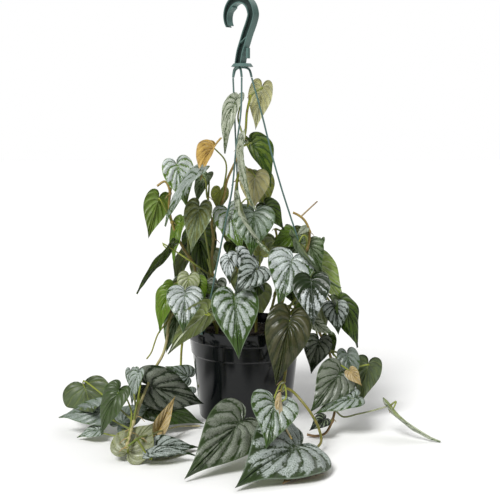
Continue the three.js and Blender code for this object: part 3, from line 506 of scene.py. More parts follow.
class LeafColours(bpy.types.PropertyGroup):
    """The colours that the leaves' looks are put together from."""

    silver_bright: paint("Bright silver", "Patches of the youngest leaves", 208, 216, 215)
    silver: paint("Silver", "Patches of most leaves", 174, 184, 178)
    silver_sage: paint("Sage silver", "Patches of a leaf that shows more green", 142, 156, 142)
    silver_blue: paint("Blue silver", "Patches of the leaves that trail", 138, 148, 142)
    silver_dull: paint("Dull silver", "Patches of old and shaded leaves", 125, 131, 117)
    silver_warm: paint("Warm silver", "Patches of pale, aged leaves", 192, 198, 176)
    deep_green: paint("Deep green", "Bands of the darkest leaves", 24, 40, 10)
    moss_green: paint("Moss green", "Bands of the leaves on the floor", 44, 60, 28)
    green: paint("Green", "Bands along the veins", 50, 74, 20)
    fresh_green: paint("Fresh green", "Bands of bright leaves", 84, 113, 24)
    mid_green: paint("Middle green", "Plain green leaves", 75, 98, 24)
    pale_green: paint("Pale green", "Leaves seen from below", 120, 134, 66)
    rich_green: paint("Rich green", "The left leaf, seen from below", 84, 108, 22)
    dusk_green: paint("Dusk green", "Plain leaves that hang in the shade", 72, 86, 55)
    leaf_green: paint("Leaf green", "Young leaves that the light shines through", 116, 138, 46)
    soft_green: paint("Soft green", "Lighter parts of green leaves", 100, 120, 38)
    grey_green: paint("Grey green", "Lighter parts of shaded leaves", 126, 140, 110)
    ash_green: paint("Ash green", "The palest leaves that lie down", 163, 168, 138)
    dull_olive: paint("Dull olive", "Patches of the large olive leaf", 71, 70, 42)
    warm_olive: paint("Warm olive", "The highest leaf, seen from below", 178, 176, 122)
    sand_green: paint("Sand green", "The leaf below the highest one, from below", 168, 162, 108)
    yellow_green: paint("Yellow green", "Young leaves and stalks", 146, 156, 44)
    olive: paint("Olive", "Dull leaves and stems", 104, 110, 46)
    deep_olive: paint("Deep olive", "Veins of the large olive leaf", 42, 48, 20)
    tan: paint("Tan", "Dried leaves and sheaths", 190, 172, 134)
    ochre: paint("Ochre", "The leaf that has turned", 204, 170, 88)
    rust: paint("Rust", "Bark of the upper stems", 162, 138, 70)
    brown: paint("Brown", "Bark of the stems", 122, 94, 58)
    black_green: paint("Black green", "Leaves in deep shade", 14, 22, 12)


# Each look gives the colours of a leaf's patches and of its bands, the share of it that the bands
# take between two veins, and how much more at its rim and at its tip, where less than nothing puts
# as much at its lobes instead, as painted shade; then the colours of its underside and of the veins there.
LOOKS = {
    "silver_bright": ("silver_bright", "fresh_green", 0.08, 0.8, 0.5, "pale_green", "silver_warm"),
    "silver_pale": ("silver_warm", "green", 0.06, 0.2, 0.1, "pale_green", "silver_warm"),
    "silver_green": ("silver", "green", 0.14, 0.6, 0.3, "pale_green", "silver_warm"),
    "silver_fresh": ("silver", "green", 0.3, 1.1, 1.1, "pale_green", "silver_warm"),
    "silver_glossy": ("silver", "moss_green", 0.08, 0.9, 0.5, "pale_green", "silver_warm"),
    "silver_grey": ("silver", "green", 0.08, 0.4, 0.2, "pale_green", "silver_dull"),
    "silver_blue": ("silver_blue", "green", -0.06, 0.2, 0.1, "pale_green", "silver_dull"),
    "silver_smoky": ("silver_bright", "green", 0.0, 0.7, 0.6, "pale_green", "silver_warm"),
    "silver_sage": ("silver_sage", "green", 0.1, 0.5, 0.4, "pale_green", "silver_dull"),
    "silver_striped": ("silver_bright", "deep_green", 0.2, 0.5, 0.3, "pale_green", "silver_dull"),
    "silver_patchy": ("silver", "deep_green", 0.2, 0.7, 0.5, "pale_green", "silver_dull"),
    "silver_dark": ("silver", "deep_green", 0.18, 0.6, 0.4, "pale_green", "silver_dull"),
    "grey_silver": ("silver_dull", "moss_green", 0.06, 0.7, 0.4, "pale_green", "silver_dull"),
    # dark_silver: partly the leaves' own dull colour, partly painted shade for leaves that lie in shade.
    "dark_silver": ("silver_dull", "deep_green", 0.2, 0.6, 0.4, "green", "silver_dull"),
    "grey_green": ("grey_green", "green", 0.16, 0.4, 0.2, "pale_green", "silver_dull"),
    # Bands spread over the lobes: the upper part is painted shade, as if shadowed by the leaf above.
    "silver_shade_topped": ("silver_bright", "deep_green", 0.24, 0.4, -1.2, "pale_green", "silver_dull"),
    "mottled": ("silver_dull", "deep_green", 0.18, 0.6, 0.4, "pale_green", "silver_dull"),
    "pale_green": ("ash_green", "pale_green", 0.05, 0.3, 0.1, "pale_green", "silver_warm"),
    "green": ("soft_green", "fresh_green", 0.45, 0.2, 0.1, "pale_green", "silver_warm"),
    "dark_green": ("fresh_green", "green", 0.3, 0.2, 0.1, "pale_green", "silver_warm"),
    "fresh": ("fresh_green", "mid_green", 0.05, 0.2, 0.1, "pale_green", "silver_warm"),
    "dusk": ("dusk_green", "green", -0.05, 0.1, 0.0, "green", "pale_green"),
    "ash": ("ash_green", "olive", -0.1, 0.1, 0.0, "pale_green", "silver_dull"),
    # dark: partly the leaves' own deep green, partly painted shade for leaves deep inside the plant.
    "dark": ("mid_green", "deep_green", 0.1, 0.2, 0.1, "green", "pale_green"),
    "dark_veined": ("soft_green", "green", 0.32, 0.3, 0.2, "pale_green", "silver_warm"),
    "olive_veined": ("olive", "grey_green", 0.14, 0.0, 0.0, "pale_green", "silver_warm"),
    "olive": ("dull_olive", "deep_olive", 0.26, 0.6, 0.3, "olive", "tan"),
    "yellow_green": ("yellow_green", "mid_green", 0.2, 0.2, 0.1, "yellow_green", "silver_warm"),
    "ochre": ("ochre", "brown", -0.06, 0.1, 0.1, "ochre", "tan"),
    "tan": ("tan", "rust", -0.08, 0.0, 0.1, "tan", "silver_warm"),
    "brown_dried": ("tan", "brown", 0.40, 0.5, 0.2, "brown", "tan"),
    # near_black: black-green bands that are painted shade, for a leaf in deep shade under the others.
    "near_black": ("grey_green", "black_green", 0.6, 0.5, 0.2, "deep_green", "silver_dull"),
    "under_olive": ("silver", "green", 0.2, 0.3, 0.1, "warm_olive", "silver_warm"),
    "under_tan": ("silver", "green", 0.2, 0.3, 0.1, "sand_green", "silver_warm"),
    "under_fresh": ("silver", "green", 0.2, 0.3, 0.1, "leaf_green", "silver_warm"),
    "leaf_below": ("silver", "green", 0.2, 0.3, 0.1, "rich_green", "pale_green"),
    "under_yellow": ("silver", "green", 0.2, 0.3, 0.1, "yellow_green", "silver_warm"),
    "under_pale": ("silver", "green", 0.2, 0.3, 0.1, "pale_green", "silver_warm"),
    "under_dark": ("silver", "green", 0.2, 0.3, 0.1, "dusk_green", "pale_green"),
}


# The tones of a stem at its root and at its end, and of the streaks on it, by vine and stem, and
# those of a stalk and of a root in the air.
PLAIN_BARK = ("olive", "yellow_green", "brown")
STALK_TONES = ("olive", "yellow_green", "pale_green")
ROOT_TONES = ("rust", "brown", "tan")
BARKS = {
    ("vine_centre_left", 0): ("olive", "rust", "brown"),
    ("vine_left", 0): ("olive", "rust", "brown"),
    ("vine_right", 0): ("olive", "rust", "brown"),
    ("vine_right", 1): ("tan", "brown", "brown"),
    ("vine_right_trailing", 0): ("olive", "brown", "brown"),
    ("vine_right_trailing", 1): ("olive", "ash_green", "olive"),
    ("vine_left_trailing", 0): ("olive", "sand_green", "tan"),
    ("vine_left_trailing", 1): ("soft_green", "tan", "soft_green"),
    ("vine_front_trailing", 0): ("olive", "olive", "rust"),
}


class PlantSizes(bpy.types.PropertyGroup):
    """The sizes that the pieces are finished with."""

    blade: FloatProperty(
        name="Blade thickness", description="Thickness of a leaf's blade in the middle",
        default=0.7 * MM, min=0.2 * MM, max=2 * MM, unit="LENGTH",
    )
    stem: FloatProperty(
        name="Stem radius", description="Radius of a rooted stem at its foot",
        default=2 * MM, min=0.5 * MM, max=4 * MM, unit="LENGTH",
    )
    stalk: FloatProperty(
        name="Stalk radius", description="Radius of a leaf's stalk",
        default=1.15 * MM, min=0.4 * MM, max=3 * MM, unit="LENGTH",
    )
    quilt: FloatProperty(
        name="Quilting", description="Rise of the blade between two veins, as a share of its length",
        default=0.028, min=0, max=0.05,
    )
    belly: FloatProperty(
        name="Belly", description="Rise of each half of the blade, as a share of its length",
        default=0.02, min=0, max=0.05,
    )
    chips: IntProperty(
        name="Bark chips", description="Chips of bark on the compost", default=260, min=0, max=600,
    )


class PotColours(bpy.types.PropertyGroup):
    """The colours of the pot, of what fills it and of the hanger."""

    plastic: paint("Pot", "The pot's plastic", 10, 13, 15)
    compost: paint("Compost", "The darkest part of the compost", 26, 21, 17)
    bark: paint("Bark", "The chips on the compost", 74, 55, 38)
    hanger: paint("Hanger", "The hook and the strands", 92, 120, 114)
    floor: paint("Floor", "The surface that the pot stands on", 252, 252, 251)


# Curves and tubes: the steps between two given points of a curve, and the points along each line.
CURVE_STEPS = 12
FINE_STEPS = 200
STEM_STEPS = 14
STALK_STEPS = 22
ROOT_STEPS = 10
STRAND_STEPS = 120
ARCH_STEPS = 40
SHARP_ANGLE = 70


def smooth_line(points, count):
    """Evenly spaced points on a smooth curve through the given points, a centripetal spline: a cubic
    between two points, whose direction at each comes from its neighbours, weighed by the square roots
    of the gaps to them."""
    points = np.array(points, float)
    p = np.vstack((2 * points[0] - points[1], points, 2 * points[-1] - points[-2]))
    gap = np.maximum(np.linalg.norm(np.diff(p, axis=0), axis=1), 1e-6) ** 0.5
    before, here, after = (g[:, None] for g in (gap[:-2], gap[1:-1], gap[2:]))
    p0, p1, p2, p3 = p[:-3], p[1:-2], p[2:-1], p[3:]
    leave = ((p1 - p0) / before - (p2 - p0) / (before + here) + (p2 - p1) / here) * here
    arrive = ((p2 - p1) / here - (p3 - p1) / (here + after) + (p3 - p2) / after) * here
    t = np.linspace(0, 1, CURVE_STEPS, endpoint=False)[None, :, None]
    p1, p2, leave, arrive = (a[:, None, :] for a in (p1, p2, leave, arrive))
    curve = (
        p1 + leave * t
        + (3 * (p2 - p1) - 2 * leave - arrive) * t**2
        + (2 * (p1 - p2) + leave + arrive) * t**3
    )
    curve = np.vstack((curve.reshape(-1, 3), points[-1]))
    run = np.append(0, np.cumsum(np.linalg.norm(np.diff(curve, axis=0), axis=1)))
    even = np.linspace(0, run[-1], count)
    return np.column_stack([np.interp(even, run, curve[:, axis]) for axis in range(3)])


def point_on(points, place):
    """The point at a share of a smooth curve's length."""
    line = smooth_line(points, FINE_STEPS)
    return line[round(place * (FINE_STEPS - 1))]


def line_length(line):
    """The length of a line through its points."""
    return float(np.linalg.norm(np.diff(line, axis=0), axis=1).sum())


def rings_along(line, radii, sides):
    """Rings of points square to a line: each is the line's point plus its radius times the cosine of a
    first direction and the sine of a second. The first is carried on from ring to ring."""
    way = np.gradient(line, axis=0)
    way /= np.linalg.norm(way, axis=1, keepdims=True)
    aside = np.cross(way[0], (0, 0, 1) if abs(way[0][2]) < 0.9 else (1, 0, 0))
    first = []
    for direction in way:
        aside = aside - direction * (aside @ direction)
        aside = aside / np.linalg.norm(aside)
        first.append(aside)
    first = np.array(first)
    second = np.cross(way, first)
    turn = np.linspace(0, 2 * np.pi, sides, endpoint=False)
    spread = first[:, None] * np.cos(turn)[None, :, None] + second[:, None] * np.sin(turn)[None, :, None]
    return line[:, None] + spread * np.asarray(radii)[:, None, None]


def ring_faces(rings, sides):
    """Four-sided faces between rings of points, facing away from the line inside them."""
    ring, side = np.meshgrid(np.arange(rings - 1), np.arange(sides), indexing="ij")
    a = ring * sides + side
    b = ring * sides + (side + 1) % sides
    return np.stack((a, b, b + sides, a + sides), axis=-1).reshape(-1, 4)


class Surfaces:
    """Collects triangles of one mesh, with what its materials read from them."""

    def __init__(self):
        self.points, self.spot, self.faces, self.uv = [], [], [], []
        self.kind, self.colour, self.second, self.bands = [], [], [], []
        self.count = 0

    def add_points(self, points, spot):
        """Adds points, each with the vector that its material reads, and returns where they start."""
        self.points.append(points)
        self.spot.append(spot)
        start = self.count
        self.count += len(points)
        return start

    def add_faces(self, start, faces, uv, kind, colour, second, bands=(0, 0, 0)):
        """Adds triangles between the points from start on. uv has a pair for each corner, and a colour
        is the same all over or has a row for each triangle. Triangles without an area are left out."""
        points = self.points[-1]
        a, b, c = (points[faces[:, i]] for i in range(3))
        real = np.linalg.norm(np.cross(b - a, c - a), axis=1) > 1e-6
        faces, uv = faces[real], uv[real]
        self.faces.append(faces + start)
        self.uv.append(uv)
        self.kind.append(np.full(len(faces), kind))
        for store, value in ((self.colour, colour), (self.second, second)):
            rows = np.broadcast_to(value, (len(real), 3))[real]
            store.append(np.column_stack((rows, np.ones(len(rows)))))
        self.bands.append(np.tile(bands, (len(faces), 1)))

    def object(self, name, materials):
        """The collected triangles as a smooth object with the given materials."""
        points = np.vstack(self.points) * MM
        faces = np.vstack(self.faces)
        mesh = bpy.data.meshes.new(name)
        mesh.vertices.add(len(points))
        mesh.loops.add(faces.size)
        mesh.polygons.add(len(faces))
        mesh.vertices.foreach_set("co", points.ravel())
        mesh.loops.foreach_set("vertex_index", faces.ravel())
        mesh.polygons.foreach_set("loop_start", np.arange(0, faces.size, 3))
        mesh.polygons.foreach_set("loop_total", np.full(len(faces), 3))
        mesh.polygons.foreach_set("material_index", np.concatenate(self.kind))
        uv = mesh.uv_layers.new(name="leaf")
        uv.data.foreach_set("uv", np.vstack(self.uv).reshape(-1))
        spot = mesh.attributes.new("spot", "FLOAT_VECTOR", "POINT")
        spot.data.foreach_set("vector", np.vstack(self.spot).ravel())
        for key, values in (("colour", self.colour), ("second", self.second)):
            layer = mesh.attributes.new(key, "FLOAT_COLOR", "FACE")
            layer.data.foreach_set("color", np.vstack(values).ravel())
        bands = mesh.attributes.new("bands", "FLOAT_VECTOR", "FACE")
        bands.data.foreach_set("vector", np.vstack(self.bands).ravel())
        mesh.update(calc_edges=True)
        mesh.validate()
        mesh.shade_smooth()
        mesh.set_sharp_from_angle(angle=math.radians(SHARP_ANGLE))
        for material in materials:
            mesh.materials.append(material)
        made = bpy.data.objects.new(name, mesh)
        bpy.context.scene.collection.objects.link(made)
        return made


# The heart-shaped outline of one half of a blade of length 1, as curves of four points each.
OUTLINE = (
    ((0, 0), (0, -0.1), (0.08, -0.2), (0.2, -0.17)),
    ((0.2, -0.17), (0.32, -0.14), (0.37, 0.02), (0.36, 0.17)),
    ((0.36, 0.17), (0.345, 0.42), (0.12, 0.66), (0.035, 0.9)),
    ((0.035, 0.9), (0.02, 0.94), (0.008, 0.975), (0, 1)),
)
OUTLINE_STEPS = 60
VEINS = 7
ROWS_PER_VEIN = 5
COLUMNS = 11
RIM_START = 0.95
LOBE_VEINS = 1.8
LAST_VEIN = 0.2
VEIN_BOW = 1.1
VEIN_REACH = 0.8
UPPER, UNDER, BARK = range(3)


def half_outline(count):
    """Points round one half of the outline, which is made of cubic curves, at the shares of its length
    that VEIN_REACH raises: farther apart at the lobes and closer towards the tip."""
    t = np.linspace(0, 1, OUTLINE_STEPS, endpoint=False)[:, None]
    bent = [
        (1 - t) ** 3 * np.array(a) + 3 * (1 - t) ** 2 * t * np.array(b)
        + 3 * (1 - t) * t**2 * np.array(c) + t**3 * np.array(d)
        for a, b, c, d in OUTLINE
    ]
    edge = np.vstack((*bent, (0, 1)))
    run = np.append(0, np.cumsum(np.linalg.norm(np.diff(edge, axis=0), axis=1)))
    ends = run[-1] * np.linspace(0, 1, count) ** VEIN_REACH
    return np.column_stack([np.interp(ends, run, edge[:, axis]) for axis in range(2)])


def vein_grid():
    """One half of a blade as rows that follow the veins from the midrib to the edge: the first veins
    leave the midrib at its start, the last at LAST_VEIN, and all of them bow towards the tip. Returns
    the places across and along the blade, the count of veins passed, and the share of the way out."""
    rows = VEINS * ROWS_PER_VEIN + 1
    edge = half_outline(rows)
    out = np.append(np.linspace(0, RIM_START, COLUMNS), 1)[None, :]
    passed = np.linspace(0, VEINS, rows)[:, None]
    x_edge, y_edge = edge[:, :1], edge[:, 1:]
    climb = np.clip((passed - LOBE_VEINS) / (VEINS - 1 - LOBE_VEINS), 0, 1)
    beyond = np.clip(passed - (VEINS - 1), 0, 1)
    start = LAST_VEIN * climb + (1 - LAST_VEIN) * beyond
    across = x_edge * out
    along = start + (y_edge - start) * out + VEIN_BOW * x_edge * (out**2 - out)
    return across, along, passed + 0 * out, out + 0 * across


GRID = vein_grid()


def leaf_frame(one):
    """A leaf's length and its directions: along its midrib, out of its upper face, and across."""
    along = one["tip"] - one["base"]
    length = np.linalg.norm(along)
    along = along / length
    face = at(one["base"][0], one["base"][1], OUT_RISE) if one["out"] else EYE - one["base"]
    face = face - along * (face @ along)
    face = face / np.linalg.norm(face)
    turn = math.radians(one["turn"])
    face = face * math.cos(turn) + np.cross(along, face) * math.sin(turn)
    return length, along, face, np.cross(along, face)


def blade_points(one, x, y, lift=0.0):
    """Points of a blade at places x across and y along it. It rises out of its upper face by a
    parabola along its midrib, by the fold times the distance from the midrib, rounded there, by a sine
    wave that grows with the square of that distance, and by lift, as shares of its length."""
    length, along, face, across = leaf_frame(one)
    fold = one["fold"] * (np.sqrt(x**2 + FOLD_ROUND**2) - FOLD_ROUND)
    wave = EDGE_WAVE * np.sin(11 * y + np.sign(x)) * (2 * x / BLADE_WIDTH) ** 2
    rise = one["bend"] * 4 * y * (1 - y) + fold + wave + lift
    return (
        one["base"]
        + across * (x * one["wide"] * length / BLADE_WIDTH)[..., None]
        + along * (y * length)[..., None]
        + face * (rise * length)[..., None]
    )


def grid_faces(rows, columns):
    """Two triangles for each cell of a grid."""
    row, column = np.meshgrid(np.arange(rows - 1), np.arange(columns - 1), indexing="ij")
    a = (row * columns + column).ravel()
    b, c, d = a + 1, a + columns, a + columns + 1
    return np.vstack((np.column_stack((a, b, d)), np.column_stack((a, d, c))))


def quilted(sizes):
    """How far a half of a blade bulges: the squared sine of the veins passed, which is nothing on a
    vein, times the root of the distances from midrib and edge, plus one sine from midrib to edge."""
    _, _, passed, out = GRID
    bulge = sizes.quilt * np.sin(np.pi * passed) ** 2 * np.sqrt(np.clip(out * (1 - out), 0, 1)) * 2
    return bulge + sizes.belly * np.sin(np.pi * out)


def add_blade(surfaces, one, seed, sizes, colours):
    """Adds both faces of one leaf's blade. Its rows follow its veins, and it is quilted between
    them, with two small sine waves of its own. The faces are half the thickness from its middle, by
    a half ellipse from midrib to edge."""
    across, along, passed, out = GRID
    draw = np.random.default_rng(seed)
    _, _, face, _ = leaf_frame(one)
    patch, band, *bands, below, ribs = LOOKS[one["look"]]
    tint = draw.uniform(0.93, 1.07)
    faces = grid_faces(*across.shape)
    quilt = quilted(sizes)
    phase = draw.uniform(0, 2 * np.pi, 2)
    corner = np.column_stack(((passed / VEINS).ravel(), out.ravel()))
    points, triangles, uv, spot, kinds = [], [], [], [], []
    count = 0
    for side in (1, -1):
        x = across * side
        uneven = LONG_WAVE * np.sin(7 * along + phase[0] + side) * out + SHORT_WAVE * np.sin(
            13 * x + 9 * along + phase[1]
        )
        middle = blade_points(one, x, along, quilt + uneven)
        thick = 0.5 * sizes.blade / MM * np.sqrt(np.clip(1 - out**2, 0, 1))[..., None] * face
        place = np.column_stack((x.ravel(), along.ravel(), np.full(x.size, seed * PATTERN_SHIFT)))
        for level, kind in ((1, UPPER), (-1, UNDER)):
            sheet = (middle + level * thick).reshape(-1, 3)
            outward = side * level > 0
            facing = faces if outward else faces[:, ::-1]
            points.append(sheet)
            triangles.append(facing + count)
            uv.append(corner[facing])
            spot.append(place)
            kinds.append(np.full(len(facing), kind))
            count += len(sheet)
    points, triangles = np.vstack(points), np.vstack(triangles)
    uv, spot, kinds = np.vstack(uv), np.vstack(spot), np.concatenate(kinds)
    _, keep, same = np.unique(np.round(points, 4), axis=0, return_index=True, return_inverse=True)
    triangles = same.ravel()[triangles]
    start = surfaces.add_points(points[keep], spot[keep])
    for kind, first, second in ((UPPER, patch, band), (UNDER, below, ribs)):
        mine = kinds == kind
        surfaces.add_faces(
            start, triangles[mine], uv[mine].reshape(-1, 6), kind,
            *(tint * tone for tone in tones_of(colours, (first, second))), bands,
        )


def add_bar(surfaces, line, radii, sides, seed, tones):
    """Adds a round bar along a line, closed at both ends. Its colour goes from the first tone to the
    second along it, with streaks of the third."""
    rings = rings_along(line, radii, sides)
    count = len(line)
    points = np.vstack((rings.reshape(-1, 3), line[:1], line[-1:]))
    quads = ring_faces(count, sides)
    faces = np.vstack((quads[:, (0, 1, 2)], quads[:, (0, 2, 3)]))
    around = np.arange(sides)
    near = np.column_stack((np.full(sides, count * sides), (around + 1) % sides, around))
    last = (count - 1) * sides
    far = np.column_stack((np.full(sides, count * sides + 1), last + around, last + (around + 1) % sides))
    faces = np.vstack((faces, near, far))
    run = np.append(0, np.cumsum(np.linalg.norm(np.diff(line, axis=0), axis=1)))
    down = np.append(np.repeat(run, sides), (0, run[-1]))
    turn = np.append(np.tile(np.linspace(0, 2 * np.pi, sides, endpoint=False), count), (0, 0))
    spot = np.column_stack((turn, down, np.full(len(down), seed * PATTERN_SHIFT)))
    start = surfaces.add_points(points, spot)
    uv = np.stack((np.cos(turn[faces]), down[faces] * 0.1), axis=-1).reshape(-1, 6)
    share = (down[faces].mean(axis=1) / run[-1])[:, None]
    first, second, streaks = tones
    surfaces.add_faces(start, faces, uv, BARK, first * (1 - share) + second * share, streaks)


def rooted_paths(vine):
    """The points of a vine's stems. The first goes down into its hole in the compost."""
    root = vine["stems"][0][0]
    foot = [at(root[0], root[1], root[2] - ROOT_DEPTH), at(root[0], root[1], SOIL_CROWN)]
    return [foot + points if i == 0 else points for i, points in enumerate(vine["stems"])]


def stalk_line(one, paths):
    """A leaf's stalk: from the stem to a knee behind the blade, and square into the midrib's start."""
    stem, place = one["on"]
    length, along, face, _ = leaf_frame(one)
    end = blade_points(one, np.zeros(1), np.full(1, STALK_END))[0]
    knee = end - along * KNEE_BACK * length - face * KNEE_BEHIND * length
    points = [point_on(paths[stem], place), knee, end]
    if one["by"] is not None:
        points.insert(1, one["by"])
    return smooth_line(points, STALK_STEPS)


def swollen(line, base, joints):
    """Radii along a line that narrow evenly towards its end and swell at the joints by a bell curve."""
    place = np.linspace(0, 1, len(line))
    radii = base * (1 - STEM_TAPER * place)
    for joint in joints:
        away = (place - joint) * line_length(line) / JOINT_LENGTH
        radii = radii + JOINT_SWELL * base * np.exp(-(away**2))
    return radii


def root_line(line, place, draw):
    """A short root in the air: it leaves a stem's joint to one side and bends down."""
    start = line[int(place * (len(line) - 1))]
    turn, length = draw.uniform(0, 2 * np.pi), draw.uniform(*ROOT_LENGTHS)
    out = at(math.cos(turn), math.sin(turn), 0) * length
    middle = start + 0.5 * out - (0, 0, 0.1 * length)
    end = start + out - (0, 0, 0.6 * length)
    return smooth_line([start, middle, end], ROOT_STEPS)


def add_roots(surfaces, line, joints, draw, tones):
    """Adds a short brown root at each joint of a stem that isn't near the floor."""
    for i, place in enumerate(joints):
        root = root_line(line, place, draw)
        if root[:, 2].min() > LOWEST_ROOT:
            add_bar(surfaces, root, np.linspace(*ROOT_RADII, len(root)), ROOT_SIDES, i, tones)


def tones_of(colours, names):
    """The named colours as arrays."""
    return [np.array(getattr(colours, name)) for name in names]


def add_vine(name, sizes, colours):
    """Makes one leafy stem: its stems, its leaves' stalks and its leaves' blades."""
    vine = VINES[name]
    surfaces = Surfaces()
    paths = rooted_paths(vine)
    seed = VINE_SEEDS * list(VINES).index(name)
    stalk_tones, root_tones = tones_of(colours, STALK_TONES), tones_of(colours, ROOT_TONES)
    for i, points in enumerate(paths):
        line = smooth_line(points, STEM_STEPS * len(points))
        joints = [one["on"][1] for one in vine["leaves"] if one["on"][0] == i]
        base = (sizes.stalk if i else sizes.stem) / MM
        tones = tones_of(colours, BARKS.get((name, i), PLAIN_BARK))
        add_bar(surfaces, line, swollen(line, base, joints), STEM_SIDES, seed + i, tones)
        add_roots(surfaces, line, joints, np.random.default_rng(seed + i), root_tones)
    for i, one in enumerate(vine["leaves"]):
        line = stalk_line(one, paths)
        radii = sizes.stalk / MM * np.linspace(*STALK_TAPER, len(line))
        add_bar(surfaces, line, radii, STALK_SIDES, seed + i + STALK_SEEDS, stalk_tones)
        add_blade(surfaces, one, seed + i + BLADE_SEEDS, sizes, colours)
    made = surfaces.object(name + "_grown", plant_materials())
    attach(made, "root")
    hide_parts(name)
    return made


# Node helpers. A value is a number, a colour, or the socket of another node.
def wire(tree, kind, inputs=None, **settings):
    """Adds a node, sets it up and joins it to what it reads."""
    node = tree.nodes.new(kind)
    for key, value in settings.items():
        setattr(node, key, value)
    for key, value in (inputs or {}).items():
        socket = node.inputs[key]
        if isinstance(value, bpy.types.NodeSocket):
            tree.links.new(value, socket)
        else:
            socket.default_value = value
    return node


def calc(tree, operation, *values):
    """A number worked out from others."""
    return wire(tree, "ShaderNodeMath", dict(enumerate(values)), operation=operation).outputs[0]


def step(tree, value, low, high, start=0.0, end=1.0):
    """A number that goes smoothly from start to end as value goes from low to high."""
    inputs = {"Value": value, "From Min": low, "From Max": high, "To Min": start, "To Max": end}
    node = wire(tree, "ShaderNodeMapRange", inputs, interpolation_type="SMOOTHSTEP")
    return node.outputs["Result"]


def blend(tree, share, first, second, kind="MIX"):
    """A colour between two others."""
    node = wire(tree, "ShaderNodeMix", {0: share}, data_type="RGBA", blend_type=kind)
    for socket, value in ((node.inputs[6], first), (node.inputs[7], second)):
        if isinstance(value, bpy.types.NodeSocket):
            tree.links.new(value, socket)
        else:
            socket.default_value = (*value, 1)
    return node.outputs[2]


def noise(tree, where, scale, detail=3.0, rough=0.55):
    """Cloudy noise from 0 to 1."""
    inputs = {"Vector": where, "Scale": scale, "Detail": detail, "Roughness": rough}
    return wire(tree, "ShaderNodeTexNoise", inputs).outputs["Fac"]


def attribute(tree, name, output):
    """What a mesh says at each place."""
    return wire(tree, "ShaderNodeAttribute", attribute_name=name, attribute_type="GEOMETRY").outputs[output]


def group(name, inputs, outputs):
    """A new node group with its sockets, its input node's sockets and its output node."""
    tree = bpy.data.node_groups.new(name, "ShaderNodeTree")
    for key, (kind, value) in inputs.items():
        socket = tree.interface.new_socket(key, in_out="INPUT", socket_type=kind)
        socket.default_value = value
    for key, kind in outputs.items():
        tree.interface.new_socket(key, in_out="OUTPUT", socket_type=kind)
    return tree, tree.nodes.new("NodeGroupInput").outputs, tree.nodes.new("NodeGroupOutput")


def use_group(tree, name, inputs):
    """Adds a node that stands for a node group."""
    node = tree.nodes.new("ShaderNodeGroup")
    node.node_tree = bpy.data.node_groups[name]
    for key, value in inputs.items():
        if isinstance(value, bpy.types.NodeSocket):
            tree.links.new(value, node.inputs[key])
        else:
            node.inputs[key].default_value = value
    return node.outputs


# The noises of a blade's pattern, as blotches to a blade's length, and its streaks, as streaks to a
# vein and from midrib to edge.
CLOUDS = 3.5
BLOTCHES = 9.0
MOTTLES = 30.0
FLECKS = 75.0
DRIFT = (0.6, 3.0)
TEETH = (2.0, 22.0)
GRAIN = (6.0, 4.0)

# How far each of them tears the borders of the silver.
CLOUD_TEAR = 1.0
TEETH_TEAR = 0.8
BLOTCH_TEAR = 1.4
GRAIN_TEAR = 1.5
MOTTLE_TEAR = 1.4


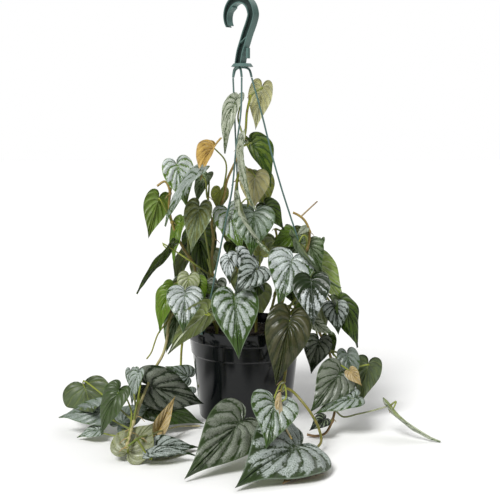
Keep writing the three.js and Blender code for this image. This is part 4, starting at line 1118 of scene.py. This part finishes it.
def make_vein_pattern():
    """The pattern of a blade, from its UV map: the veins passed and the share of the way out.

    Patch is how much silver there is. It grows with the distance from the nearest vein, is torn by
    noises and streaks, and gives way to green by Share, at the edge by Rim and at the tip by Tip, or
    at the lobes where Tip is less than nothing, which is painted shade. Line is the broken dark line
    along each vein, Rib the midrib, Edge the pale rim, which is a painted highlight, and Fleck the
    small green marks that lie all over the silver. Cloud and Grain make its shades uneven, and Height
    swells between two veins."""
    number = "NodeSocketFloat"
    results = ("Patch", "Line", "Rib", "Edge", "Cloud", "Fleck", "Grain", "Height")
    tree, given, out = group(
        "vein_pattern",
        {"Share": (number, 0.2), "Rim": (number, 0.5), "Tip": (number, 0.3)},
        dict.fromkeys(results, number),
    )
    uv = wire(tree, "ShaderNodeUVMap", uv_map="leaf").outputs[0]
    parts = wire(tree, "ShaderNodeSeparateXYZ", {0: uv}).outputs
    passed = calc(tree, "MULTIPLY", parts["X"], float(VEINS))
    outward = parts["Y"]
    spot = attribute(tree, "spot", "Vector")
    where = wire(tree, "ShaderNodeSeparateXYZ", {0: spot}).outputs
    aside = calc(tree, "ABSOLUTE", where["X"])
    half = calc(tree, "MULTIPLY_ADD", calc(tree, "SIGN", where["X"]), 5.0, where["Z"])

    def streaks(counts, detail, rough):
        place = wire(tree, "ShaderNodeCombineXYZ", {
            0: calc(tree, "MULTIPLY", passed, counts[0]),
            1: calc(tree, "MULTIPLY", outward, counts[1]),
            2: half,
        }).outputs[0]
        return noise(tree, place, 1.0, detail, rough)

    def shifted(value, by, amount):
        return calc(tree, "MULTIPLY_ADD", calc(tree, "SUBTRACT", by, 0.5), amount, value)

    cloud = noise(tree, spot, CLOUDS)
    blotch = noise(tree, spot, BLOTCHES, 3.0, 0.6)
    mottle = noise(tree, spot, MOTTLES, 3.0, 0.65)
    teeth = streaks(TEETH, 2.0, 0.5)
    grain = streaks(GRAIN, 4.0, 0.65)
    fleck = step(tree, shifted(noise(tree, spot, FLECKS, 2.0, 0.6), grain, 0.8), 0.5, 0.62)

    course = shifted(passed, streaks(DRIFT, 2.0, 0.5), 0.75)
    along = calc(tree, "FRACT", calc(tree, "ADD", course, 0.5))
    away = calc(tree, "MULTIPLY", calc(tree, "ABSOLUTE", calc(tree, "SUBTRACT", along, 0.5)), 2.0)
    torn = calc(tree, "MINIMUM", away, calc(tree, "MULTIPLY", aside, 9.0))
    for by, amount in (
        (cloud, CLOUD_TEAR), (teeth, TEETH_TEAR), (blotch, BLOTCH_TEAR), (grain, GRAIN_TEAR),
        (mottle, MOTTLE_TEAR),
    ):
        torn = shifted(torn, by, amount)

    ragged = shifted(where["Y"], blotch, 0.4)
    less = calc(tree, "MULTIPLY", calc(tree, "MINIMUM", given["Tip"], 0.0), -1.0)
    rim = step(tree, shifted(outward, blotch, 0.25), 0.80, 1.0, 0.0, given["Rim"])
    tip = step(tree, ragged, 0.62, 0.92, 0.0, calc(tree, "MAXIMUM", given["Tip"], 0.0))
    # Painted shade: bands over the lobes where Tip is less than nothing.
    lobes = step(tree, ragged, 0.4, 0.16, 0.0, less)
    width = calc(tree, "ADD", calc(tree, "ADD", given["Share"], lobes), calc(tree, "ADD", rim, tip))

    line = step(tree, shifted(shifted(away, teeth, 0.4), mottle, 0.3), 0.26, 0.06)
    broken = calc(tree, "MULTIPLY", line, step(tree, blotch, 0.34, 0.46))
    values = {
        "Patch": step(tree, calc(tree, "SUBTRACT", torn, width), -0.16, 0.2),
        "Line": calc(tree, "MULTIPLY", broken, step(tree, given["Share"], -0.1, 0.04, 0.15, 1.0)),
        "Rib": step(tree, aside, 0.009, 0.004),
        # Painted highlight along the rim, where the edge catches the light.
        "Edge": step(tree, outward, 0.962, 0.982),
        "Cloud": cloud,
        "Fleck": fleck,
        "Grain": grain,
        "Height": calc(tree, "MULTIPLY_ADD", grain, 0.4, step(tree, away, 0.0, 0.45)),
    }
    for key in results:
        tree.links.new(values[key], out.inputs[key])


def new_material(name):
    """A material with its node tree and its shader."""
    material = bpy.data.materials.new(name)
    material.use_nodes = True
    return material, material.node_tree, material.node_tree.nodes["Principled BSDF"]


def shaded(tree, colour, amount):
    """A colour made lighter or darker."""
    grey = wire(tree, "ShaderNodeCombineXYZ", {0: amount, 1: amount, 2: amount}).outputs[0]
    return blend(tree, 1.0, colour, grey, "MULTIPLY")


def vein_pattern(tree):
    """The blade's pattern, with the shares that the mesh gives for its bands, rim and tip."""
    bands = wire(tree, "ShaderNodeSeparateXYZ", {0: attribute(tree, "bands", "Vector")}).outputs
    return use_group(tree, "vein_pattern", {"Share": bands["X"], "Rim": bands["Y"], "Tip": bands["Z"]})


def by_noise(tree, value, start, end):
    """A number that goes from start to end over the range that a noise mostly keeps to."""
    return step(tree, value, 0.3, 0.7, start, end)


# How dark and how light a leaf's colours get by its clouds and its grain, its roughness where it is
# shiniest and dullest, and how much of their colour its marks show.
SILVER_CLOUDS = (0.72, 1.08)
SILVER_GRAIN = (0.66, 1.1)
GREEN_GRAIN = (0.8, 1.3)
UNDER_PATCHES = (0.78, 1.08)
UNDER_CLOUDS = (0.82, 1.12)
UPPER_ROUGH = (0.25, 0.4)
UNDER_ROUGH = (0.4, 0.55)
LEAF_IOR = 1.42
FLECK_COLOUR = 0.65
LINE_COLOUR = 0.85
RIB_COLOUR = 0.5
# How much of the painted highlight shows along the rim.
EDGE_HIGHLIGHT = 0.8
VEIN_COLOUR = 0.7
BLADE_BUMP = {"Strength": 0.5, "Distance": 0.0008}


def make_leaf_upper():
    """The upper face: silver patches on green, darker along the veins, with a soft shine."""
    material, tree, shader = new_material("leaf_upper")
    pattern = vein_pattern(tree)

    def marked(ground, mark, amount, colour):
        return blend(tree, calc(tree, "MULTIPLY", pattern[mark], amount), ground, colour)

    plain = attribute(tree, "colour", "Color")
    silver = shaded(tree, plain, by_noise(tree, pattern["Cloud"], *SILVER_CLOUDS))
    silver = shaded(tree, silver, by_noise(tree, pattern["Grain"], *SILVER_GRAIN))
    green = attribute(tree, "second", "Color")
    lively = shaded(tree, green, by_noise(tree, pattern["Grain"], *GREEN_GRAIN))
    pale = blend(tree, 0.3, shaded(tree, green, 1.6), silver)
    colour = blend(tree, pattern["Patch"], lively, marked(silver, "Fleck", FLECK_COLOUR, lively))
    colour = marked(colour, "Line", LINE_COLOUR, shaded(tree, green, 0.75))
    colour = marked(colour, "Rib", RIB_COLOUR, pale)
    # Painted highlight: the pale rim, where the edge catches the light.
    colour = marked(colour, "Edge", EDGE_HIGHLIGHT, pale)
    tree.links.new(colour, shader.inputs["Base Color"])
    tree.links.new(by_noise(tree, pattern["Cloud"], *UPPER_ROUGH), shader.inputs["Roughness"])
    shader.inputs["IOR"].default_value = LEAF_IOR
    bump = wire(tree, "ShaderNodeBump", {"Height": pattern["Height"], **BLADE_BUMP})
    tree.links.new(bump.outputs[0], shader.inputs["Normal"])
    return material


def make_leaf_under():
    """The underside: one paler colour with darker clouds, and raised veins of a lighter one."""
    material, tree, shader = new_material("leaf_under")
    pattern = vein_pattern(tree)
    ribs = attribute(tree, "second", "Color")
    flesh = attribute(tree, "colour", "Color")
    flesh = shaded(tree, flesh, step(tree, pattern["Patch"], 0.0, 1.0, *UNDER_PATCHES))
    flesh = shaded(tree, flesh, by_noise(tree, pattern["Cloud"], *UNDER_CLOUDS))
    flesh = blend(tree, step(tree, pattern["Grain"], 0.4, 0.75, 0.0, 0.3), flesh, ribs)
    veins = calc(tree, "MAXIMUM", calc(tree, "MULTIPLY", pattern["Line"], 0.5), pattern["Rib"])
    colour = blend(tree, calc(tree, "MULTIPLY", veins, VEIN_COLOUR), flesh, ribs)
    tree.links.new(colour, shader.inputs["Base Color"])
    tree.links.new(by_noise(tree, pattern["Cloud"], *UNDER_ROUGH), shader.inputs["Roughness"])
    height = calc(tree, "SUBTRACT", 1.0, pattern["Height"])
    bump = wire(tree, "ShaderNodeBump", {"Height": height, **BLADE_BUMP})
    tree.links.new(bump.outputs[0], shader.inputs["Normal"])
    return material


def make_bark():
    """Stems and stalks: one colour streaked lengthwise with another, by a noise that is stretched
    along them."""
    material, tree, shader = new_material("stem_bark")
    where = wire(tree, "ShaderNodeSeparateXYZ", {0: attribute(tree, "spot", "Vector")}).outputs
    stretched = wire(tree, "ShaderNodeCombineXYZ", {
        0: calc(tree, "MULTIPLY", calc(tree, "COSINE", where["X"]), 2.5),
        1: calc(tree, "MULTIPLY", where["Y"], 0.12),
        2: where["Z"],
    }).outputs[0]
    streak = noise(tree, stretched, 1.6, 4.0, 0.6)
    plain = attribute(tree, "colour", "Color")
    colour = blend(tree, step(tree, streak, 0.45, 0.66), plain, attribute(tree, "second", "Color"))
    tree.links.new(colour, shader.inputs["Base Color"])
    shader.inputs["Roughness"].default_value = 0.42
    bump = wire(tree, "ShaderNodeBump", {"Height": streak, "Strength": 0.3, "Distance": 0.0004})
    tree.links.new(bump.outputs[0], shader.inputs["Normal"])
    return material


def plant_materials():
    """The plant's materials, in the order of the surfaces' kinds."""
    return [bpy.data.materials[name] for name in ("leaf_upper", "leaf_under", "stem_bark")]


PLASTIC_IOR = 1.38
CLOUD_DARK = 0.7
# How dark the painted shade at the bottom of the hook's channel makes its colour.
PAINTED_CHANNEL_SHADE = 0.22


def make_moulded(name, colour, rough, uneven):
    """Moulded plastic: one colour with faint clouds and scuffs, a little uneven, and with painted shade
    that darkens it towards the bottom of a channel."""
    material, tree, shader = new_material(name)
    place = wire(tree, "ShaderNodeTexCoord").outputs["Object"]
    cloud = noise(tree, place, 26.0, 4.0)
    scuff = noise(tree, place, 240.0, 3.0, 0.7)
    dark = tuple(CLOUD_DARK * part for part in colour)
    clouded = blend(tree, step(tree, cloud, 0.3, 0.7), dark, colour)
    # Painted shade: darker towards the bottom of a channel, where the deep attribute is one.
    inside = step(tree, attribute(tree, "deep", "Fac"), 0.1, 0.9, 1.0, PAINTED_CHANNEL_SHADE)
    tree.links.new(shaded(tree, clouded, inside), shader.inputs["Base Color"])
    worn = calc(tree, "MULTIPLY_ADD", step(tree, scuff, 0.5, 0.8), 0.12, rough)
    tree.links.new(calc(tree, "MULTIPLY_ADD", cloud, 0.08, worn), shader.inputs["Roughness"])
    shader.inputs["IOR"].default_value = PLASTIC_IOR
    bump = wire(tree, "ShaderNodeBump", {"Height": cloud, "Strength": uneven, "Distance": 0.001})
    tree.links.new(bump.outputs[0], shader.inputs["Normal"])
    return material


def make_compost(colours):
    """Compost: dark crumbs with lighter chips of bark."""
    material, tree, shader = new_material("compost_crumbs")
    place = wire(tree, "ShaderNodeTexCoord").outputs["Object"]
    crumb = noise(tree, place, 320.0, 5.0, 0.7)
    patch = noise(tree, place, 60.0, 3.0)
    colour = blend(tree, step(tree, crumb, 0.4, 0.72), tuple(colours.compost), tuple(colours.bark))
    dark = blend(tree, step(tree, patch, 0.35, 0.65, 0.0, 0.6), colour, tuple(colours.compost))
    tree.links.new(dark, shader.inputs["Base Color"])
    shader.inputs["Roughness"].default_value = 0.95
    bump = wire(tree, "ShaderNodeBump", {"Height": crumb, "Strength": 0.9, "Distance": 0.002})
    tree.links.new(bump.outputs[0], shader.inputs["Normal"])
    return material


# The pot, the compost and the hanger.
def body_radius(up):
    """The outer radius of the pot's body, which grows evenly with the height."""
    return BASE_RADIUS + (RIM_RADIUS - BASE_RADIUS - 2 * BAND_STEP) * up / POT_HEIGHT


def mesh_object(name, points, faces):
    """A smooth object from points in millimetres and faces."""
    mesh = bpy.data.meshes.new(name)
    mesh.from_pydata((np.asarray(points) * MM).tolist(), [], [list(map(int, face)) for face in faces])
    mesh.update()
    mesh.shade_smooth()
    made = bpy.data.objects.new(name, mesh)
    bpy.context.scene.collection.objects.link(made)
    return made


def turned(profile, sides):
    """Points and faces of a solid turned from its profile of radii and heights, which starts and ends
    on the axis: each radius times the cosine and the sine of the turn."""
    profile = np.array(profile, float)
    angle = np.linspace(0, 2 * np.pi, sides, endpoint=False)
    inner = profile[1:-1]
    rings = np.stack((
        inner[:, :1] * np.cos(angle), inner[:, :1] * np.sin(angle), inner[:, 1:] + 0 * angle
    ), axis=-1)
    points = np.vstack((rings.reshape(-1, 3), (0, 0, profile[0, 1]), (0, 0, profile[-1, 1])))
    faces = ring_faces(len(inner), sides).tolist()
    first, last = len(points) - 2, len(points) - 1
    top = (len(inner) - 1) * sides
    faces += [(first, (i + 1) % sides, i) for i in range(sides)]
    faces += [(last, top + i, top + (i + 1) % sides) for i in range(sides)]
    return points, faces


def rounded(profile, radius):
    """A profile with each corner cut to three points of a parabola, which starts and ends a radius
    away from it, or less than half a side."""
    profile = np.array(profile, float)
    smooth = [profile[0]]
    for before, here, after in zip(profile[:-2], profile[1:-1], profile[2:]):
        back, on = before - here, after - here
        reach = min(radius, 0.45 * np.linalg.norm(back), 0.45 * np.linalg.norm(on))
        a = here + back / np.linalg.norm(back) * reach
        b = here + on / np.linalg.norm(on) * reach
        smooth += [a, 0.25 * a + 0.5 * here + 0.25 * b, b]
    return np.array(smooth + [profile[-1]])


def finish_piece(made, node, materials):
    """Gives a piece its materials and its body, and hides the part that it stands for."""
    made.data.materials.clear()
    for material in materials:
        made.data.materials.append(material)
    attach(made, "root")
    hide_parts(node)


def spun(points, angle):
    """Points turned about the upright axis by an angle."""
    cos, sin = math.cos(angle), math.sin(angle)
    return points @ np.array(((cos, sin, 0), (-sin, cos, 0), (0, 0, 1)))


def box_points(degrees, radius, up, size):
    """The corners and faces of a box at degrees round the pot: radial, sideways and upright sizes."""
    half = np.array(size) / 2
    corners = np.array([(x, y, z) for x in (-1, 1) for y in (-1, 1) for z in (-1, 1)]) * half
    faces = [(0, 1, 3, 2), (4, 6, 7, 5), (0, 4, 5, 1), (2, 3, 7, 6), (0, 2, 6, 4), (1, 5, 7, 3)]
    return spun(corners + (radius, 0, up), math.radians(degrees)), faces


def joined(parts):
    """Points and faces of several shapes in one list."""
    points, faces, count = [], [], 0
    for some, theirs in parts:
        points.append(some)
        faces += [[i + count for i in face] for face in theirs]
        count += len(some)
    return np.vstack(points), faces


def cut_or_joined(made, shapes, operation):
    """Cuts shapes out of a piece, or joins them to it, as one closed surface."""
    for shape in shapes:
        tool = mesh_object(made.name + "_tool", *shape)
        change = made.modifiers.new("change", "BOOLEAN")
        change.object, change.operation, change.solver = tool, operation, "EXACT"
        whole = bpy.data.meshes.new_from_object(made.evaluated_get(bpy.context.evaluated_depsgraph_get()))
        made.modifiers.clear()
        made.data = whole
        bpy.data.objects.remove(tool)


def soften(made, width, segments=2):
    """Rounds a piece's sharp edges."""
    bevel = made.modifiers.new("edges", "BEVEL")
    bevel.width = width * MM
    bevel.segments = segments
    bevel.limit_method = "ANGLE"
    bevel.angle_limit = math.radians(40)
    bevel.harden_normals = True


def pot_shape():
    """The pot: a tapered cup with two bands under its rim, turned from its rounded profile."""
    low = POT_HEIGHT - RIM_BAND - SECOND_BAND
    middle = POT_HEIGHT - RIM_BAND
    profile = [
        (0, 0), (BASE_RADIUS, 0), (body_radius(low), low), (body_radius(low) + BAND_STEP, low + 1),
        (body_radius(middle) + BAND_STEP, middle), (RIM_RADIUS - RIM_LEAN, middle + 1),
        (RIM_RADIUS, POT_HEIGHT), (RIM_RADIUS - POT_WALL, POT_HEIGHT),
        (RIM_RADIUS - POT_WALL, middle + 3), (body_radius(middle) - POT_WALL, middle - 1),
        (body_radius(POT_FLOOR) - POT_WALL, POT_FLOOR), (0, POT_FLOOR),
    ]
    return turned(rounded(profile, POT_CORNER), POT_SIDES)


def pocket_shapes():
    """The pocket behind each clip, on the outside of the rim's band."""
    return [box_points(turn, RIM_RADIUS, POT_HEIGHT - POCKET_DROP, POCKET_SIZE) for turn in CLIP_ANGLES]


def drain_shapes():
    """A short rod through the pot's floor for each drain hole."""
    rods = []
    for i in range(DRAIN_HOLES):
        turn = 360 * (i + 0.5) / DRAIN_HOLES
        ends = [about(turn, DRAIN_RING, up) for up in (-POT_FLOOR, 2 * POT_FLOOR)]
        rods.append(bar_shape(np.array(ends), DRAIN_RADIUS, DRAIN_SIDES))
    return rods


def hook_plane(points):
    """Points of the hook's own upright plane, with their distance from it, in the part's frame: the
    plane is turned about the upright axis."""
    points = np.asarray(points, float)
    angle = math.radians(-HOOK_TURN)
    return np.stack((
        points[..., 0] * math.cos(angle) + points[..., 2] * math.sin(angle),
        points[..., 0] * math.sin(angle) - points[..., 2] * math.cos(angle),
        points[..., 1],
    ), axis=-1)


def closed_bar(rings, sides):
    """The faces of a bar made of rings of points, with a flat face at each end."""
    last = (rings - 1) * sides
    ends = [list(range(sides - 1, -1, -1)), list(range(last, last + sides))]
    return ring_faces(rings, sides).tolist() + ends


def crook_shape():
    """The crook and shank: a section with a channel on both faces, carried along the hook's middle
    line, which is an arc and then a smooth curve, and narrowed evenly towards its tip."""
    turn = np.radians(CROOK_TURNS)
    arc = np.array(HOOK_ARC_AT) + HOOK_ARC * np.column_stack((np.cos(turn), np.sin(turn)))
    flat = np.vstack((arc, SHANK))
    line = smooth_line(np.column_stack((flat, np.zeros(len(flat)))), CROOK_RINGS)[:, :2]
    way = np.gradient(line, axis=0)
    way /= np.linalg.norm(way, axis=1, keepdims=True)
    half, web = HOOK_SECTION / 2, HOOK_WEB / 2
    inside = half - HOOK_FLANGE
    quarter = [(half, half), (inside, half), (inside, web)]
    upper = quarter + [(-offset, side) for offset, side in reversed(quarter)]
    section = np.array(upper + [(offset, -side) for offset, side in reversed(upper)])
    taper = np.clip(HOOK_TIP + (1 - HOOK_TIP) * np.arange(CROOK_RINGS) / TIP_RINGS, 0, 1)
    offset = taper[:, None] * section[None, :, 0]
    rings = np.stack((
        line[:, :1] - way[:, 1:] * offset, line[:, 1:] + way[:, :1] * offset,
        np.broadcast_to(section[:, 1], offset.shape),
    ), axis=-1)
    return hook_plane(rings.reshape(-1, 3)), closed_bar(CROOK_RINGS, SECTION_CORNERS)


def slab_shape(outline, width):
    """An outline in the hook's plane, made width thick."""
    outline = np.array(outline, float)
    count = len(outline)
    near = np.column_stack((outline, np.full(count, -width / 2)))
    far = np.column_stack((outline, np.full(count, width / 2)))
    faces = [list(range(count - 1, -1, -1)), list(range(count, 2 * count))]
    faces += [(i, (i + 1) % count, count + (i + 1) % count, count + i) for i in range(count)]
    return hook_plane(np.vstack((near, far))), faces


def rib_shape(start, end):
    """A rib across the hook's channel."""
    start, end = np.array(start, float), np.array(end, float)
    along = (end - start) / np.linalg.norm(end - start)
    out = np.array((-along[1], along[0])) * RIB_THICK / 2
    return slab_shape([start + out, start - out, end - out, end + out], HOOK_SECTION - 1)


def bar_shape(line, radius, sides):
    """A round bar along a line."""
    radii = np.broadcast_to(radius, len(line))
    return rings_along(line, radii, sides).reshape(-1, 3), closed_bar(len(line), sides)


def arch_shape(a, b):
    """The arch between two strands' feet, under the hook's plate."""
    top = (a + b) / 2
    top[2] = PLATE_AT[2] - PLATE_THICK / 2 - STRAND_RADIUS / 2
    lifts = []
    for foot in (a, b):
        lift = foot + (top - foot) * 0.3
        lift[2] = foot[2] + (top[2] - foot[2]) * 0.8
        lifts.append(lift)
    return bar_shape(smooth_line([a, lifts[0], top, lifts[1], b], ARCH_STEPS), ARCH_RADIUS, ARCH_SIDES)


def hook_shape():
    """The hook: its crook on its gusset, the plate below and the arches between the strands' feet."""
    gusset = slab_shape(GUSSET, HOOK_WEB)
    ribs = [rib_shape(*ends) for ends in RIBS]
    low, high = PLATE_AT[2] - PLATE_THICK / 2, PLATE_AT[2] + PLATE_THICK / 2
    profile = [(0, low), (PLATE_RADIUS, low), (PLATE_RADIUS - PLATE_SLOPE, high), (0, high)]
    points, faces = turned(profile, PLATE_SIDES)
    plate = (points + (PLATE_AT[0], PLATE_AT[1], 0), faces)
    feet = [strand["foot"] for strand in STRANDS.values()]
    arches = [arch_shape(foot, feet[(i + 1) % len(feet)]) for i, foot in enumerate(feet)]
    return joined([crook_shape(), gusset, *ribs, plate, *arches])


def paint_channel_shade(made):
    """Marks the bottom of the channel on both faces of the hook's crook, which comes first in it, for the
    painted shade that darkens it there.
    """
    deep = np.zeros((len(made.data.vertices), 1))
    crook = deep[:CROOK_RINGS * SECTION_CORNERS].reshape(CROOK_RINGS, SECTION_CORNERS)
    crook[:, CHANNEL_CORNERS] = 1
    made.data.attributes.new("deep", "FLOAT", "POINT").data.foreach_set("value", deep.ravel())


def strand_shape(strand):
    """A strand: from just under its foot on the hook down to a clip that straddles the pot's rim."""
    degrees = strand["degrees"]
    wall = RIM_RADIUS - POT_WALL / 2
    top = POT_HEIGHT + 2 * SEAT_GAP
    middle = top + CLIP_THICK / 2
    bridge = box_points(degrees, wall, middle, (POT_WALL + 2 * CLIP_OUT, CLIP_WIDTH, CLIP_THICK))
    legs = [
        box_points(degrees, wall + out, middle - drop / 2, (CLIP_THICK, CLIP_WIDTH, drop))
        for out, drop in ((-CLIP_OUT, INNER_LEG), (CLIP_OUT, OUTER_LEG))
    ]
    end = about(degrees, wall, middle)
    start = strand["foot"] - (0, 0, 2 * SEAT_GAP)
    line = smooth_line([start, *strand["route"], end + (0, 0, CLIP_RISE), end], STRAND_STEPS)
    return joined([bar_shape(line, STRAND_RADIUS, STRAND_SIDES), bridge, *legs])


def soil_radius(up):
    """The radius of the compost, which keeps a small gap to the pot's wall."""
    return body_radius(up) - POT_WALL - 2 * SEAT_GAP


def soil_height(share):
    """The height of the compost at a share of the way out: a crown that falls by the share's cube."""
    return SOIL_CROWN - (SOIL_CROWN - SOIL_EDGE) * share**3


def chip_shape(draw, reach):
    """A chip of bark: a box whose corners are each pulled in by chance, laid down by chance within
    reach of the pot's axis, evenly over the ground."""
    angle, far = draw.uniform(0, 360), reach * math.sqrt(draw.uniform(0, 0.88))
    corners, faces = box_points(0, 0, 0, draw.uniform(CHIP_SMALLEST, CHIP_LARGEST))
    corners = corners * draw.uniform(0.6, 1, corners.shape)
    corners = spun(corners, draw.uniform(0, 2 * np.pi))
    return corners + about(angle, far, soil_height(far / reach) + CHIP_LIFT), faces


def soil_shape(chips):
    """The compost: it fills the pot, sine waves make its top crumbly, and chips of bark lie on it."""
    draw = np.random.default_rng(CHIP_SEED)
    low = POT_FLOOR + SEAT_GAP
    reach = soil_radius(SOIL_EDGE - 4)
    share = np.linspace(1, 0, SOIL_RINGS)[1:-1]
    top = np.column_stack((reach * share, soil_height(share)))
    profile = [(0, low), (soil_radius(low), low), (reach, SOIL_EDGE - 1), *top, (0, SOIL_CROWN)]
    points, faces = turned(profile, SOIL_SIDES)
    upper = points[:, 2] > SOIL_EDGE - 0.5
    lumps = np.sin(points[:, 0] * 0.9) * np.sin(points[:, 1] * 1.1) + np.sin(
        points[:, 0] * 2.3 + points[:, 1] * 1.7
    )
    points[:, 2] = np.where(upper, points[:, 2] + LUMP_RISE * lumps, points[:, 2])
    return joined([(points, faces), *(chip_shape(draw, reach) for _ in range(chips))])


# The studio.
def make_floor(colour):
    """The floor: a wide plain square of one colour, with clouds that are hardly darker."""
    corners = [(FLOOR_HALF * x, FLOOR_HALF * y, -FLOOR_DROP) for x, y in FLOOR_CORNERS]
    floor = mesh_object("floor", corners, [(0, 1, 2, 3)])
    material, tree, shader = new_material("floor")
    place = wire(tree, "ShaderNodeTexCoord").outputs["Object"]
    worn = tuple(0.985 * part for part in colour)
    tree.links.new(blend(tree, noise(tree, place, 3.0), colour, worn), shader.inputs["Base Color"])
    shader.inputs["Roughness"].default_value = 0.6
    floor.data.materials.append(material)
    return floor


def make_studio():
    """The studio's white walls, which light the plant less than the camera sees of them."""
    world = bpy.data.worlds.new("studio")
    world.use_nodes = True
    tree = world.node_tree
    light = tree.nodes["Background"]
    light.inputs["Color"].default_value = (1, 1, 1, 1)
    direct = wire(tree, "ShaderNodeLightPath").outputs["Is Camera Ray"]
    tree.links.new(step(tree, direct, 0, 1, FILL_LIGHT, 1), light.inputs["Strength"])
    return world


def make_camera():
    """The camera, at the place from which the plant was measured."""
    lens = bpy.data.cameras.new("camera")
    lens.sensor_width = SENSOR
    lens.lens = FOCAL * SENSOR / PICTURE
    camera = bpy.data.objects.new("camera", lens)
    camera.location = EYE * MM
    camera.rotation_euler = (math.pi / 2 - LOOK_DOWN, 0, 0)
    bpy.context.scene.collection.objects.link(camera)
    return camera


def add_sun(name, place, spread, strength):
    """A soft light that shines the same everywhere, from a direction and over spread degrees."""
    lamp = bpy.data.lights.new(name, "SUN")
    lamp.angle = math.radians(spread)
    lamp.energy = strength
    made = bpy.data.objects.new(name, lamp)
    flat = math.hypot(place[0], place[1])
    made.rotation_euler = (math.atan2(flat, place[2]), 0, math.atan2(place[1], place[0]) + math.pi / 2)
    bpy.context.scene.collection.objects.link(made)


# The add-on.
class PLANT_OT_materials(bpy.types.Operator):
    """Make the plant's, the pot's and the hanger's materials"""

    bl_idname = "plant.materials"
    bl_label = "Materials"

    def execute(self, context):
        scene = context.scene
        make_vein_pattern()
        make_leaf_upper()
        make_leaf_under()
        make_bark()
        make_moulded("pot_gloss", tuple(scene.pot_colours.plastic), rough=0.08, uneven=0.12)
        make_moulded("hanger_satin", tuple(scene.pot_colours.hanger), rough=0.32, uneven=0.2)
        make_compost(scene.pot_colours)
        return {"FINISHED"}


class PLANT_OT_pot(bpy.types.Operator):
    """Make the pot with its bands, drain holes and clip pockets"""

    bl_idname = "plant.pot"
    bl_label = "Pot"

    def execute(self, context):
        made = mesh_object("pot_moulded", *pot_shape())
        cut_or_joined(made, pocket_shapes(), "UNION")
        cut_or_joined(made, drain_shapes(), "DIFFERENCE")
        finish_piece(made, "pot", [bpy.data.materials["pot_gloss"]])
        soften(made, POT_EDGE)
        return {"FINISHED"}


class PLANT_OT_compost(bpy.types.Operator):
    """Make the compost with its chips of bark"""

    bl_idname = "plant.compost"
    bl_label = "Compost"

    def execute(self, context):
        made = mesh_object("compost_filled", *soil_shape(context.scene.plant_sizes.chips))
        finish_piece(made, "soil", [bpy.data.materials["compost_crumbs"]])
        return {"FINISHED"}


class PLANT_OT_hanger(bpy.types.Operator):
    """Make the hanger's hook and its three strands"""

    bl_idname = "plant.hanger"
    bl_label = "Hanger"

    def execute(self, context):
        plastic = [bpy.data.materials["hanger_satin"]]
        made = mesh_object("hook_moulded", *hook_shape())
        paint_channel_shade(made)
        cut_or_joined(made, [slab_shape(GUSSET_SLOT, 2 * HOOK_WEB)], "DIFFERENCE")
        finish_piece(made, "hanger_hook", plastic)
        soften(made, HOOK_EDGE)
        for name, strand in STRANDS.items():
            made = mesh_object(name + "_moulded", *strand_shape(strand))
            finish_piece(made, name, plastic)
            soften(made, STRAND_EDGE)
        return {"FINISHED"}


class PLANT_OT_stems(bpy.types.Operator):
    """Make every leafy stem, with its stalks and leaves"""

    bl_idname = "plant.stems"
    bl_label = "Leafy stems"

    def execute(self, context):
        for name in VINES:
            add_vine(name, context.scene.plant_sizes, context.scene.leaf_colours)
        return {"FINISHED"}


class PLANT_OT_stage(bpy.types.Operator):
    """Make the floor, the studio lights and the camera"""

    bl_idname = "plant.stage"
    bl_label = "Stage"

    def execute(self, context):
        scene = context.scene
        floor = make_floor(tuple(scene.pot_colours.floor))
        for light in LIGHTS:
            add_sun(*light)
        scene.world = make_studio()
        scene.view_settings.view_transform = "Standard"
        scene.camera = make_camera()
        return {"FINISHED"}


OPERATORS = (
    PLANT_OT_materials, PLANT_OT_pot, PLANT_OT_compost, PLANT_OT_hanger, PLANT_OT_stems, PLANT_OT_stage,
)
GROUPS = {"plant_sizes": PlantSizes, "leaf_colours": LeafColours, "pot_colours": PotColours}


class PLANT_PT_panel(bpy.types.Panel):
    """Lists the plant's sizes, colours and operators"""

    bl_idname = "PLANT_PT_panel"
    bl_label = "Potted philodendron"
    bl_space_type = "VIEW_3D"
    bl_region_type = "UI"
    bl_category = "Plant"

    def draw(self, context):
        layout = self.layout
        for key, kind in GROUPS.items():
            box = layout.box()
            for name in kind.__annotations__:
                box.prop(getattr(context.scene, key), name)
        for operator in OPERATORS:
            layout.operator(operator.bl_idname)


def register():
    """Registers the add-on's classes and the scene's settings."""
    for kind in (*GROUPS.values(), *OPERATORS, PLANT_PT_panel):
        bpy.utils.register_class(kind)
    for key, kind in GROUPS.items():
        setattr(bpy.types.Scene, key, PointerProperty(type=kind))


def unregister():
    """Takes away what register added."""
    for key in GROUPS:
        delattr(bpy.types.Scene, key)
    for kind in (PLANT_PT_panel, *reversed(OPERATORS), *reversed(GROUPS.values())):
        bpy.utils.unregister_class(kind)


def main():
    """Registers the add-on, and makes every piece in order."""
    register()
    for operator in OPERATORS:
        section, name = operator.bl_idname.split(".")
        getattr(getattr(bpy.ops, section), name)()


if __name__ == "__main__":
    main()
